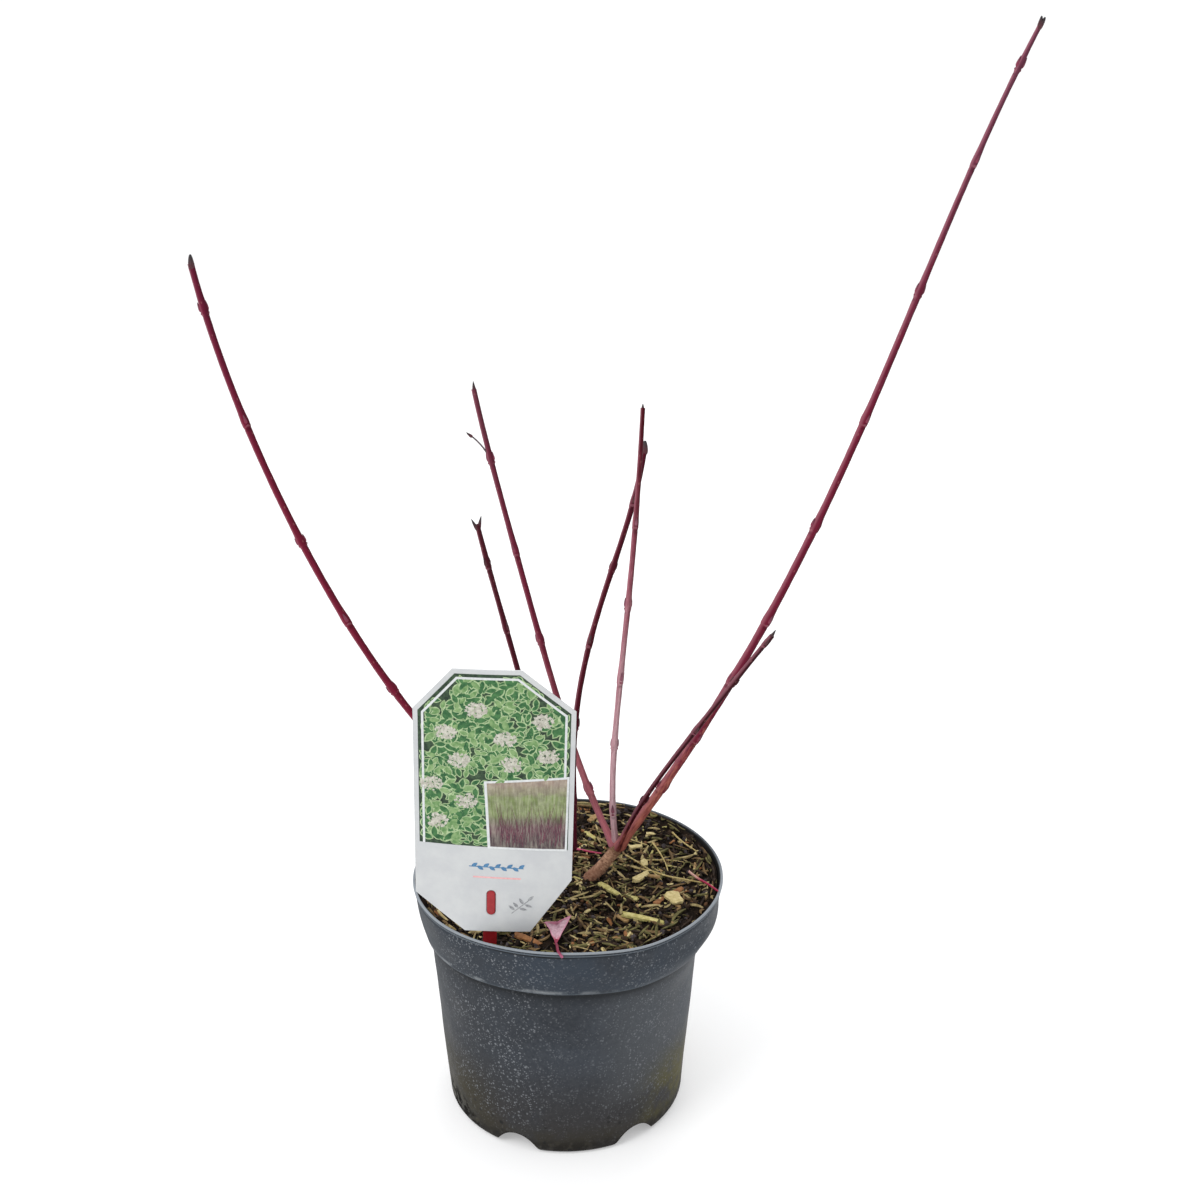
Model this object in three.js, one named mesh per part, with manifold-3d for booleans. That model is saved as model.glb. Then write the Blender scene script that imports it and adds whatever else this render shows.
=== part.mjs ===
// A young tatarian dogwood in winter: bare red stems in a round nursery pot, with its plant label.
// Millimetres, +Z up. The origin is the middle of the pot's underside and the front faces -Y.

import * as THREE from 'three';
import { mergeVertices } from 'three/addons/utils/BufferGeometryUtils.js';
import Module from 'manifold-3d';

const wasm = await Module();
wasm.setup();

// Gap between pieces that rest on or beside each other
const CLEARANCE = 0.3;

// Two vertices closer than this are one vertex
const MERGE_DISTANCE = 1e-4;

// Pot: a thin moulded shell, with a flared collar round its top and a rolled lip; it gives a little,
// so that its top sways to one side
const POT = {
  height: 136.5,
  lipRadius: 85,
  lipHeight: 3,
  grooveDepth: 0.5,
  collarTopRadius: 84,
  collarFootRadius: 78.4,
  collarBulge: 0.8,
  collarHeight: 29.5,
  bodyTopRadius: 74.8,
  bodyFootRadius: 66.8,
  cornerRadius: 3.5,
  wall: 1.5,
  floor: 2,
  segments: 60,
  sway: 1.5,
  swayFrom: 85,
};

// Drainage notches: arches cut through the pot's lower corner, each at so many degrees round from the front
const NOTCH = {
  degrees: [-23, 35, 112, 187, 262],
  width: 26,
  flare: 5,
  height: 10,
  innerRadius: 52,
  depth: 30,
};

// Potting soil: filled to a little below the lip, with a heap at the back
const SOIL = {
  level: 132.5,
  edgeDrop: 1.5,
  rings: 9,
  segments: 52,
  wave: 0.75,
  heap: 3.6,
  heapWidth: 55,
  heapFrom: 22,
  heapTo: 70,
  seatRadius: 13,
};

// Wood chips that lie on the soil: place, heading in degrees, length, width, thickness
const CHIPS = [
  { at: [24.5, -16], turn: -50, size: [17, 4.2, 2.4] },
  { at: [59, -25], turn: -65, size: [11, 9, 2.6] },
  { at: [42, -44.5], turn: -22, size: [24, 4, 2.6] },
  { at: [41.5, -3], turn: 48, size: [12, 5, 2.2] },
  { at: [-18, -63.5], turn: -35, size: [16, 4.5, 2.2] },
  { at: [-42, 46], turn: 25, size: [13, 5, 2.4] },
];
const SCATTERED_CHIPS = {
  count: 16,
  seed: 7,
  reach: 70,
  length: [7, 13],
  width: [2.5, 5],
  thickness: [1.4, 2.2],
};

// Trunks: short brown stools that lean, cut flat where they leave the soil
const TRUNKS = {
  trunk_right: {
    foot: [15, 1.4, SOIL.level], azimuth: [10.5, 11], lean: [43, 41, 38, 35], length: 24,
    girth: [8, 6.6, 6.3, 6.8],
  },
  trunk_left: {
    foot: [-2, 8.8, SOIL.level], azimuth: [4, 4], lean: [27, 23, 18, 14], length: 12.8,
    girth: [7.4, 6.6, 6.4, 6.8],
  },
};
const TRUNK = { buried: 7, sides: 14, stationStep: 2.5 };

// Boughs: each stem's foot, heading, lean from upright at four even stations, length and thickness there;
// buds lists how far up the stem each pair of buds stands, and split is where its last twigs begin
const BOUGHS = {
  long_right: {
    from: 'trunk_right', clearOf: [],
    foot: [29, 3.6, 149], azimuth: [-6.9, -10.6], lean: [32.2, 24.9, 18.9, 24.3], length: 472,
    girth: [5.1, 4.15, 3.4, 2.1], flare: 1.1, split: 308,
    buds: [46, 81, 120, 158.5, 215, 274.5, 341, 405, 449.5],
  },
  mid_left: {
    from: 'trunk_right', clearOf: ['long_right'],
    foot: [27, 4.6, 149], azimuth: [132.7, 148.3], lean: [42.3, 22.7, 18.6, 12.6], length: 267,
    girth: [3.9, 3.4, 3.1, 2.8], flare: 1, buds: [34.5, 78, 121.5, 172.5, 224], split: 198,
  },
  middle: {
    from: 'trunk_right', clearOf: ['long_right', 'mid_left'],
    foot: [28, 6, 149.5], azimuth: [61.1, 76], lean: [-16.9, 12.5, 15.5, 10.8], length: 245,
    girth: [3.3, 3.1, 3, 2.4], flare: 0.8, buds: [24, 62.5, 99, 138.5, 182], split: 160,
  },
  low_right: {
    from: 'trunk_right', clearOf: ['long_right', 'mid_left', 'middle'],
    foot: [28.4, 0.8, 149.5], azimuth: [-32, -38.6], lean: [20, 31.8, 33.8, 36.4], length: 178.5,
    girth: [2.8, 2.6, 2.7, 2.4], flare: 0.6, buds: [38.5, 98, 137, 169], split: 118,
  },
  long_left: {
    from: 'trunk_left', clearOf: [],
    foot: [1, 8.4, 144.5], azimuth: [171.7, 171.8], lean: [61.4, 35, 22.3, 10.1], length: 384,
    girth: [4.1, 3.95, 3.7, 3.3], flare: 1.1, buds: [43, 87, 133, 178.5, 227, 296, 356], split: 262,
  },
  dark_middle: {
    from: 'trunk_left', clearOf: ['long_left'],
    foot: [4, 10, 144.5], azimuth: [34.6, 73.7], lean: [5.5, 8.8, 38.7, 27.1], length: 238.7,
    girth: [3.2, 3.1, 3, 3.1], flare: 0.8, buds: [30.5, 75, 121, 163.5, 202.5], split: 182,
  },
  short_dark: {
    from: 'trunk_left', clearOf: ['long_left', 'dark_middle'],
    foot: [2.6, 7.6, 144.5], azimuth: [208.3, 208.3], lean: [17.3, 13.8, 14.3, 12.5], length: 209,
    girth: [3.1, 2.9, 2.8, 2.6], flare: 0.8, buds: [25, 63, 104, 144.5, 182.5], split: 163,
  },
};
const BOUGH = { sides: 6, stationStep: 16, nodeSwell: 0.2, nodeWidth: 2.6, flareLength: 7, ringGap: 1.5 };

// Last twigs: the side shoots that stand on them, and how each stem ends
const TWIGS = {
  long_right: { end: 'pair' },
  mid_left: {
    end: 'single',
    shoots: [{ at: 224, azimuth: [180, 180], lean: [28, 35, 46, 58], length: 20, girth: [1.2, 1, 0.9, 0.9] }],
  },
  middle: { end: 'thin' },
  low_right: { end: 'single' },
  long_left: { end: 'broad' },
  dark_middle: { end: 'blunt' },
  short_dark: { end: 'open' },
};

// Buds: slim pointed scales pressed to the stem in pairs, each pair turned a quarter from the one below
const BUD = { length: 4.5, width: 1.5, sides: 5, splayDegrees: 7, sink: 0.5, seed: 11 };
const SHOOT_BUD = { length: 4.5, width: 2.3 };
const END_BUDS = {
  single: [{ length: 8, width: 2.7, splay: 0 }],
  broad: [{ length: 8.5, width: 3.8, splay: 0 }],
  thin: [{ length: 4.5, width: 1.8, splay: 0 }],
  blunt: [{ length: 8.5, width: 3.4, splay: 2 }],
  pair: [{ length: 6.5, width: 2.7, splay: 8 }, { length: 5.5, width: 2.4, splay: -8 }],
  open: [{ length: 8.5, width: 2.6, splay: 20 }, { length: 8, width: 2.4, splay: -20 }],
};

// Label: a stiff card with cut corners, hooked by an oval tongue on a flat stake behind it
const LABEL = {
  foot: [-37.6, -66, SOIL.level],
  leanDegrees: 4,
  rollDegrees: 1.8,
  left: -37.6,
  right: 41.1,
  bottom: 8.1,
  top: 158.6,
  thickness: 0.8,
  bend: 1.8,
  bendStrips: 16,
  cuts: {
    topLeft: [19.2, 22.4],
    topRight: [26.3, 22.3],
    bottomRight: [20.5, 31.3],
    bottomLeft: [24.9, 22.2],
  },
  slot: { x: 0.6, z: 25.9, width: 4.8, height: 15 },
};
const STAKE = { width: 8.5, thickness: 1.6, bottom: -24, point: 9, top: 44, tongueProud: 0.7 };

// Fallen bits: a folded pink leaf whose stalk hangs over the lip, and two bare leaf stalks
const LEAF = {
  foot: [-3.5, -67.8], tip: [-3.3, -48.5], width: 13, fold: 0.45, lift: 1.4, slant: 0.34, thickness: 0.5, rows: 8,
};
const LEAF_STALK = { over: [-2.2, -83.6], end: [0.2, -86.6], endHeight: 134.6, thickness: 1.1 };
const STALKS = {
  fallen_stalk_right: { from: [67.5, 6], to: [82.4, -23], overLip: true, thickness: 1.3 },
  fallen_stalk_left: { from: [4.5, 29], to: [20, 24.8], overLip: false, thickness: 1.2 },
};

const MATERIALS = {
  pot: new THREE.MeshStandardMaterial({ color: 0x41474f, roughness: 0.55, metalness: 0 }),
  soil: new THREE.MeshStandardMaterial({ color: 0x2c2119, roughness: 0.95, metalness: 0 }),
  trunkBark: new THREE.MeshStandardMaterial({ color: 0x8a5a3c, roughness: 0.85, metalness: 0 }),
  redBark: new THREE.MeshStandardMaterial({ color: 0x8f2338, roughness: 0.5, metalness: 0 }),
  roseBark: new THREE.MeshStandardMaterial({ color: 0xa65a66, roughness: 0.6, metalness: 0 }),
  darkBark: new THREE.MeshStandardMaterial({ color: 0x4a1420, roughness: 0.5, metalness: 0 }),
  card: new THREE.MeshStandardMaterial({ color: 0xe6e9ea, roughness: 0.4, metalness: 0 }),
  stake: new THREE.MeshStandardMaterial({ color: 0xc0232b, roughness: 0.4, metalness: 0 }),
  fallen: new THREE.MeshStandardMaterial({ color: 0xc07088, roughness: 0.7, metalness: 0 }),
};
const BARK_OF = {
  long_right: MATERIALS.redBark,
  long_left: MATERIALS.redBark,
  mid_left: MATERIALS.redBark,
  middle: MATERIALS.roseBark,
  low_right: MATERIALS.darkBark,
  dark_middle: MATERIALS.darkBark,
  short_dark: MATERIALS.darkBark,
};

const radians = THREE.MathUtils.degToRad;
const smoothstep = THREE.MathUtils.smoothstep;
const lerp = THREE.MathUtils.lerp;

// Turns a closed geometry into a solid that can be cut and joined
function solidOf(geometry) {
  const bare = geometry.clone();
  bare.deleteAttribute('normal');
  bare.deleteAttribute('uv');
  const merged = mergeVertices(bare, MERGE_DISTANCE);
  const index = merged.index.array;
  const triangles = [];
  for (let i = 0; i < index.length; i += 3) {
    const [a, b, c] = [index[i], index[i + 1], index[i + 2]];
    if (a !== b && b !== c && c !== a) triangles.push(a, b, c);
  }
  return new wasm.Manifold(new wasm.Mesh({
    numProp: 3,
    vertProperties: new Float32Array(merged.attributes.position.array),
    triVerts: new Uint32Array(triangles),
  }));
}

// Turns a solid back into a geometry
function geometryOf(solid) {
  const mesh = solid.getMesh();
  const geometry = new THREE.BufferGeometry();
  geometry.setAttribute('position', new THREE.BufferAttribute(mesh.vertProperties, 3));
  geometry.setIndex(new THREE.BufferAttribute(mesh.triVerts, 1));
  geometry.computeVertexNormals();
  return geometry;
}

// The largest body of a solid, without scraps that a cut has freed
function largestBody(solid) {
  const bodies = solid.decompose();
  return bodies.reduce((largest, body) => (body.volume() > largest.volume() ? body : largest));
}

function meshOf(name, solid, material) {
  const mesh = new THREE.Mesh(geometryOf(solid), material);
  mesh.name = name;
  return mesh;
}

// Moves every vertex of a geometry by a rule that changes the vector it is given
function reshape(geometry, rule) {
  const position = geometry.attributes.position;
  const vertex = new THREE.Vector3();
  for (let i = 0; i < position.count; i++) {
    rule(vertex.fromBufferAttribute(position, i));
    position.setXYZ(i, vertex.x, vertex.y, vertex.z);
  }
  return geometry;
}

// A body turned round +Z from a profile of [radius, height] pairs that starts and ends on the axis
function turned(profile, segments) {
  const points = profile.map(([radius, height]) => new THREE.Vector2(radius, height));
  return new THREE.LatheGeometry(points, segments).rotateX(Math.PI / 2);
}

// Points on a circle's arc in the profile plane, from one angle to another in degrees
function arc(centreRadius, centreHeight, radius, fromDegrees, toDegrees, count) {
  return Array.from({ length: count + 1 }, (_, i) => {
    const angle = radians(lerp(fromDegrees, toDegrees, i / count));
    return [centreRadius + radius * Math.cos(angle), centreHeight + radius * Math.sin(angle)];
  });
}

// A repeatable source of numbers from 0 to 1
function seededRandom(seed) {
  let state = seed;
  return () => {
    state = (state * 1664525 + 1013904223) % 4294967296;
    return state / 4294967296;
  };
}

// A smooth curve through four values at 0, 1/3, 2/3 and 1, read at t
function throughFour(values, t) {
  return values.reduce((sum, value, i) => {
    const weight = values.reduce((product, _, j) => (j === i ? product : product * (3 * t - j) / (i - j)), 1);
    return sum + value * weight;
  }, 0);
}

// Straight stretches between four values at 0, 1/3, 2/3 and 1, read at t
function alongFour(values, t) {
  const place = THREE.MathUtils.clamp(t, 0, 1) * 3;
  const i = Math.min(2, Math.floor(place));
  return lerp(values[i], values[i + 1], place - i);
}

// The way a stem runs: its heading turns and leans along its length, and its place follows from that
class StemPath {
  constructor({ foot, azimuth, lean, length }) {
    this.azimuth = azimuth;
    this.lean = lean;
    this.run = length;
    this.places = [new THREE.Vector3(...foot)];
    const steps = 200;
    for (let i = 0; i < steps; i++) {
      const step = this.frame(((i + 0.5) / steps) * length).along.multiplyScalar(length / steps);
      this.places.push(this.places[i].clone().add(step));
    }
  }

  // Along the stem, across it in the plane it leans in, and sideways, at a distance from its foot
  frame(distance) {
    const t = distance / this.run;
    const lean = radians(throughFour(this.lean, t));
    const azimuth = radians(lerp(this.azimuth[0], this.azimuth[1], t));
    const [sinLean, cosLean] = [Math.sin(lean), Math.cos(lean)];
    const [sinTurn, cosTurn] = [Math.sin(azimuth), Math.cos(azimuth)];
    return {
      along: new THREE.Vector3(sinLean * cosTurn, sinLean * sinTurn, cosLean),
      across: new THREE.Vector3(cosLean * cosTurn, cosLean * sinTurn, -sinLean),
      sideways: new THREE.Vector3(-sinTurn, cosTurn, 0),
    };
  }

  // The place at a distance from the foot; past either end the stem runs on straight
  at(distance) {
    const last = this.places.length - 1;
    const place = (distance / this.run) * last;
    const i = THREE.MathUtils.clamp(Math.floor(place), 0, last - 1);
    return this.places[i].clone().lerp(this.places[i + 1], place - i);
  }
}

// Distances along a stretch at which a stem gets a ring: even ones, and three round each pair of buds
function stations(from, to, step, buds) {
  const count = Math.ceil((to - from) / step);
  const even = Array.from({ length: count + 1 }, (_, i) => lerp(from, to, i / count));
  const round = buds.flatMap((bud) => [bud - BOUGH.nodeWidth, bud, bud + BOUGH.nodeWidth]);
  const clear = (place) => round.every((ring) => Math.abs(place - ring) > BOUGH.ringGap);
  const kept = even.filter((place, i) => i === 0 || i === count || clear(place));
  return [...kept, ...round.filter((r) => r > from && r < to)].sort((a, b) => a - b);
}

// A stem's radius at a distance from its foot: its taper, its flared foot and a swelling at each pair of buds
function radiusAt(stem, distance) {
  const taper = alongFour(stem.girth, distance / stem.length) / 2;
  const flare = (stem.flare ?? 0) * Math.exp(-((Math.max(0, distance) / BOUGH.flareLength) ** 2));
  const swell = (stem.buds ?? []).reduce(
    (sum, bud) => sum + BOUGH.nodeSwell * taper * Math.exp(-(((distance - bud) / BOUGH.nodeWidth) ** 2)), 0);
  return taper + flare + swell;
}

// A stretch of a stem: a straight turned body, laid along the stem's curve
function limb(stem, curve, from, to, { sides, step, grow = 0, roundEnd = 0 }) {
  const places = stations(from - grow, to + grow - roundEnd, step, stem.buds ?? []);
  const side = places.map((place) => [radiusAt(stem, place) + grow, place]);
  const endRadius = radiusAt(stem, to) + grow;
  const dome = arc(0, 0, 1, 25, 65, 2).map(([r, h]) => [r * endRadius, to + grow + (h - 1) * roundEnd]);
  const profile = [[0, from - grow], ...side, ...(roundEnd > 0 ? dome : []), [0, to + grow]];
  return solidOf(reshape(turned(profile, sides), (vertex) => {
    const { across, sideways } = curve.frame(vertex.z);
    const centre = curve.at(vertex.z);
    vertex.copy(centre.addScaledVector(across, vertex.x).addScaledVector(sideways, vertex.y));
  }));
}

// The direction at an angle from one direction towards another at right angles to it
function between(first, second, angle) {
  return first.clone().multiplyScalar(Math.cos(angle)).addScaledVector(second, Math.sin(angle));
}

// One bud: a pointed scale that stands at a place and points along a direction
function bud(place, direction, length, width) {
  const profile = [[0, 0], [0.5 * width, 0.28 * length], [0.34 * width, 0.7 * length], [0, length]];
  const turn = new THREE.Quaternion().setFromUnitVectors(new THREE.Vector3(0, 0, 1), direction);
  return solidOf(turned(profile, BUD.sides).applyQuaternion(turn).translate(place.x, place.y, place.z));
}

// The pair of buds at a place along a stem, on opposite sides of it
function budPair(stem, curve, distance, quarter, random) {
  const { along, across, sideways } = curve.frame(distance);
  const radius = radiusAt(stem, distance);
  const angle = (quarter * Math.PI) / 2 + 0.5 + 0.3 * (random() - 0.5);
  return [0, Math.PI].map((half) => {
    const outward = between(across, sideways, angle + half);
    const splay = radians(BUD.splayDegrees * (0.8 + 0.5 * random()));
    const direction = between(along, outward, splay);
    const size = 0.85 + 0.25 * random();
    const place = curve.at(distance - 1.2).addScaledVector(outward, radius - BUD.sink);
    return bud(place, direction, BUD.length * size, BUD.width * size);
  });
}

// The buds that end a stem
function endBuds(stem, curve, kind) {
  const { along, across } = curve.frame(stem.length);
  return END_BUDS[kind].map(({ length, width, splay }) => {
    const direction = between(along, across, radians(splay));
    return bud(curve.at(stem.length - length), direction, length, width);
  });
}

// Joins every pair of buds that stands between two places onto a stretch of a stem
function withBuds(body, stem, curve, from, to) {
  const random = seededRandom(BUD.seed + Math.round(stem.length));
  return (stem.buds ?? []).reduce((solid, distance, i) => {
    const pair = budPair(stem, curve, distance, i, random);
    return distance > from && distance < to ? solid.add(pair[0]).add(pair[1]) : solid;
  }, body);
}

// The heights of the soil: low waves, a heap at the back, and a flat seat round each trunk
function soilHeight(x, y) {
  const waves = SOIL.wave * (Math.sin(x / 6.1 + 0.4) * Math.cos(y / 7.3) + 0.7 * Math.sin((x + y) / 5.3 + 1.1)
    + 0.6 * Math.cos((x - 1.7 * y) / 7.2));
  const heap = SOIL.heap * smoothstep(y, SOIL.heapFrom, SOIL.heapTo) * Math.exp(-((x / SOIL.heapWidth) ** 2));
  const toSeat = Math.min(...Object.values(TRUNKS).map(({ foot }) => Math.hypot(x - foot[0], y - foot[1])));
  const away = smoothstep(toSeat, SOIL.seatRadius, SOIL.seatRadius + 9);
  return SOIL.level - CLEARANCE + away * (waves + heap);
}

// The collar's side, bulging a little between its foot and the lip, set in by some distance
function collarSide(inset, footHeight) {
  const lipFoot = POT.height - POT.lipHeight - 0.5;
  return [0, 0.33, 0.67, 1].map((t) => {
    const straight = lerp(POT.collarFootRadius, POT.collarTopRadius, t);
    return [straight + POT.collarBulge * Math.sin(Math.PI * t) - inset, lerp(footHeight, lipFoot, t)];
  });
}

// The pot's inner side as a profile, set in by a clearance, from the middle of the floor to the lip
function innerSide(inset) {
  const { floor, wall, cornerRadius, bodyFootRadius, bodyTopRadius } = POT;
  const collarFoot = POT.height - POT.collarHeight;
  return [
    [0, floor + inset],
    ...arc(bodyFootRadius - cornerRadius, cornerRadius, cornerRadius - floor - inset, -90, -5, 3),
    [bodyTopRadius - wall - inset, collarFoot + 1.1 + inset],
    ...collarSide(wall + inset, collarFoot + 2.1 + inset),
  ];
}

// The pot's top sways to one side, and what fills it goes with it
function sway(geometry) {
  return reshape(geometry, (vertex) => {
    vertex.x += POT.sway * smoothstep(vertex.z, POT.swayFrom, POT.height);
  });
}

function potSolid() {
  const { height, lipRadius, cornerRadius, bodyFootRadius, bodyTopRadius } = POT;
  const collarFoot = height - POT.collarHeight;
  const outside = [
    [0, 0],
    ...arc(bodyFootRadius - cornerRadius, cornerRadius, cornerRadius, -90, -5, 4),
    [bodyTopRadius, collarFoot],
    ...collarSide(0, collarFoot + 0.6),
    [POT.collarTopRadius - POT.grooveDepth, height - POT.lipHeight],
    ...arc(lipRadius - 1.3, height - 1.3, 1.3, -40, 100, 5),
    [lipRadius - 2.6, height - 0.5],
  ];
  const shell = solidOf(sway(turned([...outside, ...innerSide(0).reverse()], POT.segments)));
  return notchSolids(0).reduce((solid, notch) => solid.subtract(notch), shell);
}

// The notches' cutters, each an arch pushed outward through the pot's corner and grown by a margin
function notchSolids(margin) {
  const half = NOTCH.width / 2 + margin;
  const top = NOTCH.height + margin;
  const below = -2;
  const arch = new THREE.Shape();
  arch.moveTo(-half - NOTCH.flare, below);
  arch.bezierCurveTo(-half + 1, below, -half + 3, top, 0, top);
  arch.bezierCurveTo(half - 3, top, half - 1, below, half + NOTCH.flare, below);
  arch.closePath();
  const push = { depth: NOTCH.depth, bevelEnabled: false, curveSegments: 10 };
  const block = new THREE.ExtrudeGeometry(arch, push);
  block.rotateX(Math.PI / 2).translate(0, margin - NOTCH.innerRadius, 0);
  return NOTCH.degrees.map((degrees) => solidOf(block.clone().rotateZ(radians(degrees))));
}

// A wood chip: a slab with one end narrower than the other, half sunk in the soil
function chipSolid({ at, turn, size: [length, width, thickness] }) {
  const slab = new THREE.BoxGeometry(length, width, thickness);
  reshape(slab, (vertex) => {
    if (vertex.x > 0) vertex.y *= 0.7;
  });
  slab.rotateZ(radians(turn));
  return solidOf(slab.translate(at[0], at[1], soilHeight(at[0], at[1]) + 0.15 * thickness));
}

function scatteredChips() {
  const random = seededRandom(SCATTERED_CHIPS.seed);
  const { length, width, thickness } = SCATTERED_CHIPS;
  return Array.from({ length: SCATTERED_CHIPS.count }, () => {
    const radius = SCATTERED_CHIPS.reach * Math.sqrt(lerp(0.12, 1, random()));
    const angle = 2 * Math.PI * random();
    const size = [length, width, thickness].map(([low, high]) => lerp(low, high, random()));
    return { at: [radius * Math.cos(angle), radius * Math.sin(angle)], turn: 180 * random(), size };
  });
}

// Chips keep off the trunks' seats, the label's stake and the fallen bits
function chipHasRoom({ at: [x, y], size }) {
  const places = [
    ...Object.values(TRUNKS).map(({ foot }) => foot),
    LABEL.foot,
    LEAF.foot,
    LEAF.tip,
    ...Object.values(STALKS).flatMap(({ from, to }) => [from, to, from.map((v, i) => (v + to[i]) / 2)]),
  ];
  return places.every((place) => Math.hypot(x - place[0], y - place[1]) > 9 + size[0] / 2);
}

function soilSolid(stakeCutter) {
  const side = innerSide(CLEARANCE).slice(0, -1);
  const [footRadius, footHeight] = side.at(-1);
  const [topRadius, topHeight] = innerSide(CLEARANCE).at(-1);
  const edgeHeight = SOIL.level - SOIL.edgeDrop;
  const edgeRadius = lerp(footRadius, topRadius, (edgeHeight - footHeight) / (topHeight - footHeight));
  const shares = Array.from({ length: SOIL.rings + 1 }, (_, i) => 1 - i / SOIL.rings);
  const rings = shares.map((share) => [edgeRadius * share, SOIL.level]);
  const body = reshape(turned([...side, ...rings], SOIL.segments), (vertex) => {
    if (vertex.z < SOIL.level - 0.01) return;
    const edge = smoothstep(Math.hypot(vertex.x, vertex.y), edgeRadius - 9, edgeRadius);
    vertex.z = lerp(soilHeight(vertex.x, vertex.y), edgeHeight, edge);
  });
  const chips = [...CHIPS, ...scatteredChips().filter(chipHasRoom)].map(chipSolid);
  const strewn = chips.reduce((solid, chip) => solid.add(chip), solidOf(sway(body)));
  const drained = notchSolids(1.6).reduce((solid, notch) => solid.subtract(notch), strewn);
  return largestBody(drained.subtract(stakeCutter));
}

// A trunk runs on below the soil's level and is cut flat there; grow makes the cutter for what stands on it
function trunkSolid(trunk, grow = 0) {
  const curve = new StemPath(trunk);
  const roundEnd = 0.4 * trunk.girth[3];
  const ring = { sides: TRUNK.sides, step: TRUNK.stationStep, grow, roundEnd };
  const body = limb(trunk, curve, -TRUNK.buried, trunk.length, ring);
  const ground = new THREE.BoxGeometry(80, 80, 40).translate(trunk.foot[0], trunk.foot[1], SOIL.level - 20);
  return body.subtract(solidOf(ground));
}

// Every bough and its last twigs, each cut clear of its trunk and of the boughs made before it
function stems() {
  const cutters = {};
  return Object.entries(BOUGHS).flatMap(([name, stem]) => {
    const curve = new StemPath(stem);
    const ring = { sides: BOUGH.sides, step: BOUGH.stationStep };
    const bough = withBuds(limb(stem, curve, 0, stem.split, ring), stem, curve, 0, stem.split);
    const neighbours = stem.clearOf.map((other) => cutters[other]);
    const cleared = [trunkSolid(TRUNKS[stem.from], CLEARANCE), ...neighbours]
      .reduce((solid, cutter) => solid.subtract(cutter), bough);
    cutters[name] = limb(stem, curve, 0, 60, { ...ring, grow: CLEARANCE });
    return [
      meshOf(name, largestBody(cleared), BARK_OF[name]),
      meshOf(`${name}_twigs`, twigSolid(name, stem, curve, ring), BARK_OF[name]),
    ];
  });
}

// The last twigs of a stem: its top stretch with buds, side shoots and end buds all grown together
function twigSolid(name, stem, curve, ring) {
  const { end, shoots = [] } = TWIGS[name];
  const from = stem.split + CLEARANCE;
  const to = stem.length - 0.55 * END_BUDS[end][0].length;
  const main = withBuds(limb(stem, curve, from, to, ring), stem, curve, from, to);
  const sideShoots = shoots.flatMap(({ at, ...rest }) => {
    const shoot = { ...rest, foot: curve.at(at).toArray() };
    const path = new StemPath(shoot);
    const { length, width } = SHOOT_BUD;
    const tip = bud(path.at(shoot.length - length), path.frame(shoot.length).along, length, width);
    return [limb(shoot, path, 0, shoot.length - 0.55 * length, { sides: BOUGH.sides, step: 5 }), tip];
  });
  return [...sideShoots, ...endBuds(stem, curve, end)].reduce((solid, piece) => solid.add(piece), main);
}

// An upright oval with round ends, as a shape about a centre
function ovalShape(x, z, width, height) {
  const straight = height / 2 - width / 2;
  const shape = new THREE.Shape();
  shape.absarc(x, z + straight, width / 2, 0, Math.PI, false);
  shape.absarc(x, z - straight, width / 2, Math.PI, 2 * Math.PI, false);
  shape.closePath();
  return shape;
}

// An upright slab: a shape drawn in x and z, standing between two depths along y
function uprightSlab(shape, front, back) {
  const push = { depth: back - front, bevelEnabled: false, curveSegments: 8 };
  return solidOf(new THREE.ExtrudeGeometry(shape, push).rotateX(Math.PI / 2).translate(0, back, 0));
}

// The card: a plate bent back gently at both sides, cut to its outline, with the slot through it
function cardSolid() {
  const { left, right, bottom, top, thickness, bend, cuts, slot } = LABEL;
  const middle = (left + right) / 2;
  const half = (right - left) / 2;
  const plate = new THREE.BoxGeometry(2 * half + 4, thickness, top - bottom + 4, LABEL.bendStrips, 1, 1);
  plate.translate(middle, 0, (top + bottom) / 2);
  reshape(plate, (vertex) => {
    vertex.y += bend * ((vertex.x - middle) / half) ** 2;
  });
  const outline = new THREE.Shape([
    [left + cuts.bottomLeft[0], bottom],
    [right - cuts.bottomRight[0], bottom],
    [right, bottom + cuts.bottomRight[1]],
    [right, top - cuts.topRight[1]],
    [right - cuts.topRight[0], top],
    [left + cuts.topLeft[0], top],
    [left, top - cuts.topLeft[1]],
    [left, bottom + cuts.bottomLeft[1]],
  ].map(([x, z]) => new THREE.Vector2(x, z)));
  const card = solidOf(plate).intersect(uprightSlab(outline, -5, 8));
  return card.subtract(uprightSlab(ovalShape(slot.x, slot.z, slot.width, slot.height), -5, 8));
}

// The stake's flat blade, grown by a margin: square at the top and pointed in the soil
function stakeBlade(margin) {
  const half = STAKE.width / 2 + margin;
  const outline = new THREE.Shape([
    [0, STAKE.bottom - margin],
    [half, STAKE.bottom + STAKE.point],
    [half, STAKE.top + margin],
    [-half, STAKE.top + margin],
    [-half, STAKE.bottom + STAKE.point],
  ].map(([x, z]) => new THREE.Vector2(x, z)));
  const front = LABEL.thickness / 2 + CLEARANCE + 0.05;
  return uprightSlab(outline, front - margin, front + STAKE.thickness + margin);
}

function stakeSolid() {
  const { x, z, width, height } = LABEL.slot;
  const tongue = ovalShape(x, z, width - 2 * CLEARANCE, height - 2 * CLEARANCE);
  const front = -LABEL.thickness / 2 - STAKE.tongueProud;
  return stakeBlade(0).add(uprightSlab(tongue, front, LABEL.thickness / 2 + CLEARANCE + 0.5));
}

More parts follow.
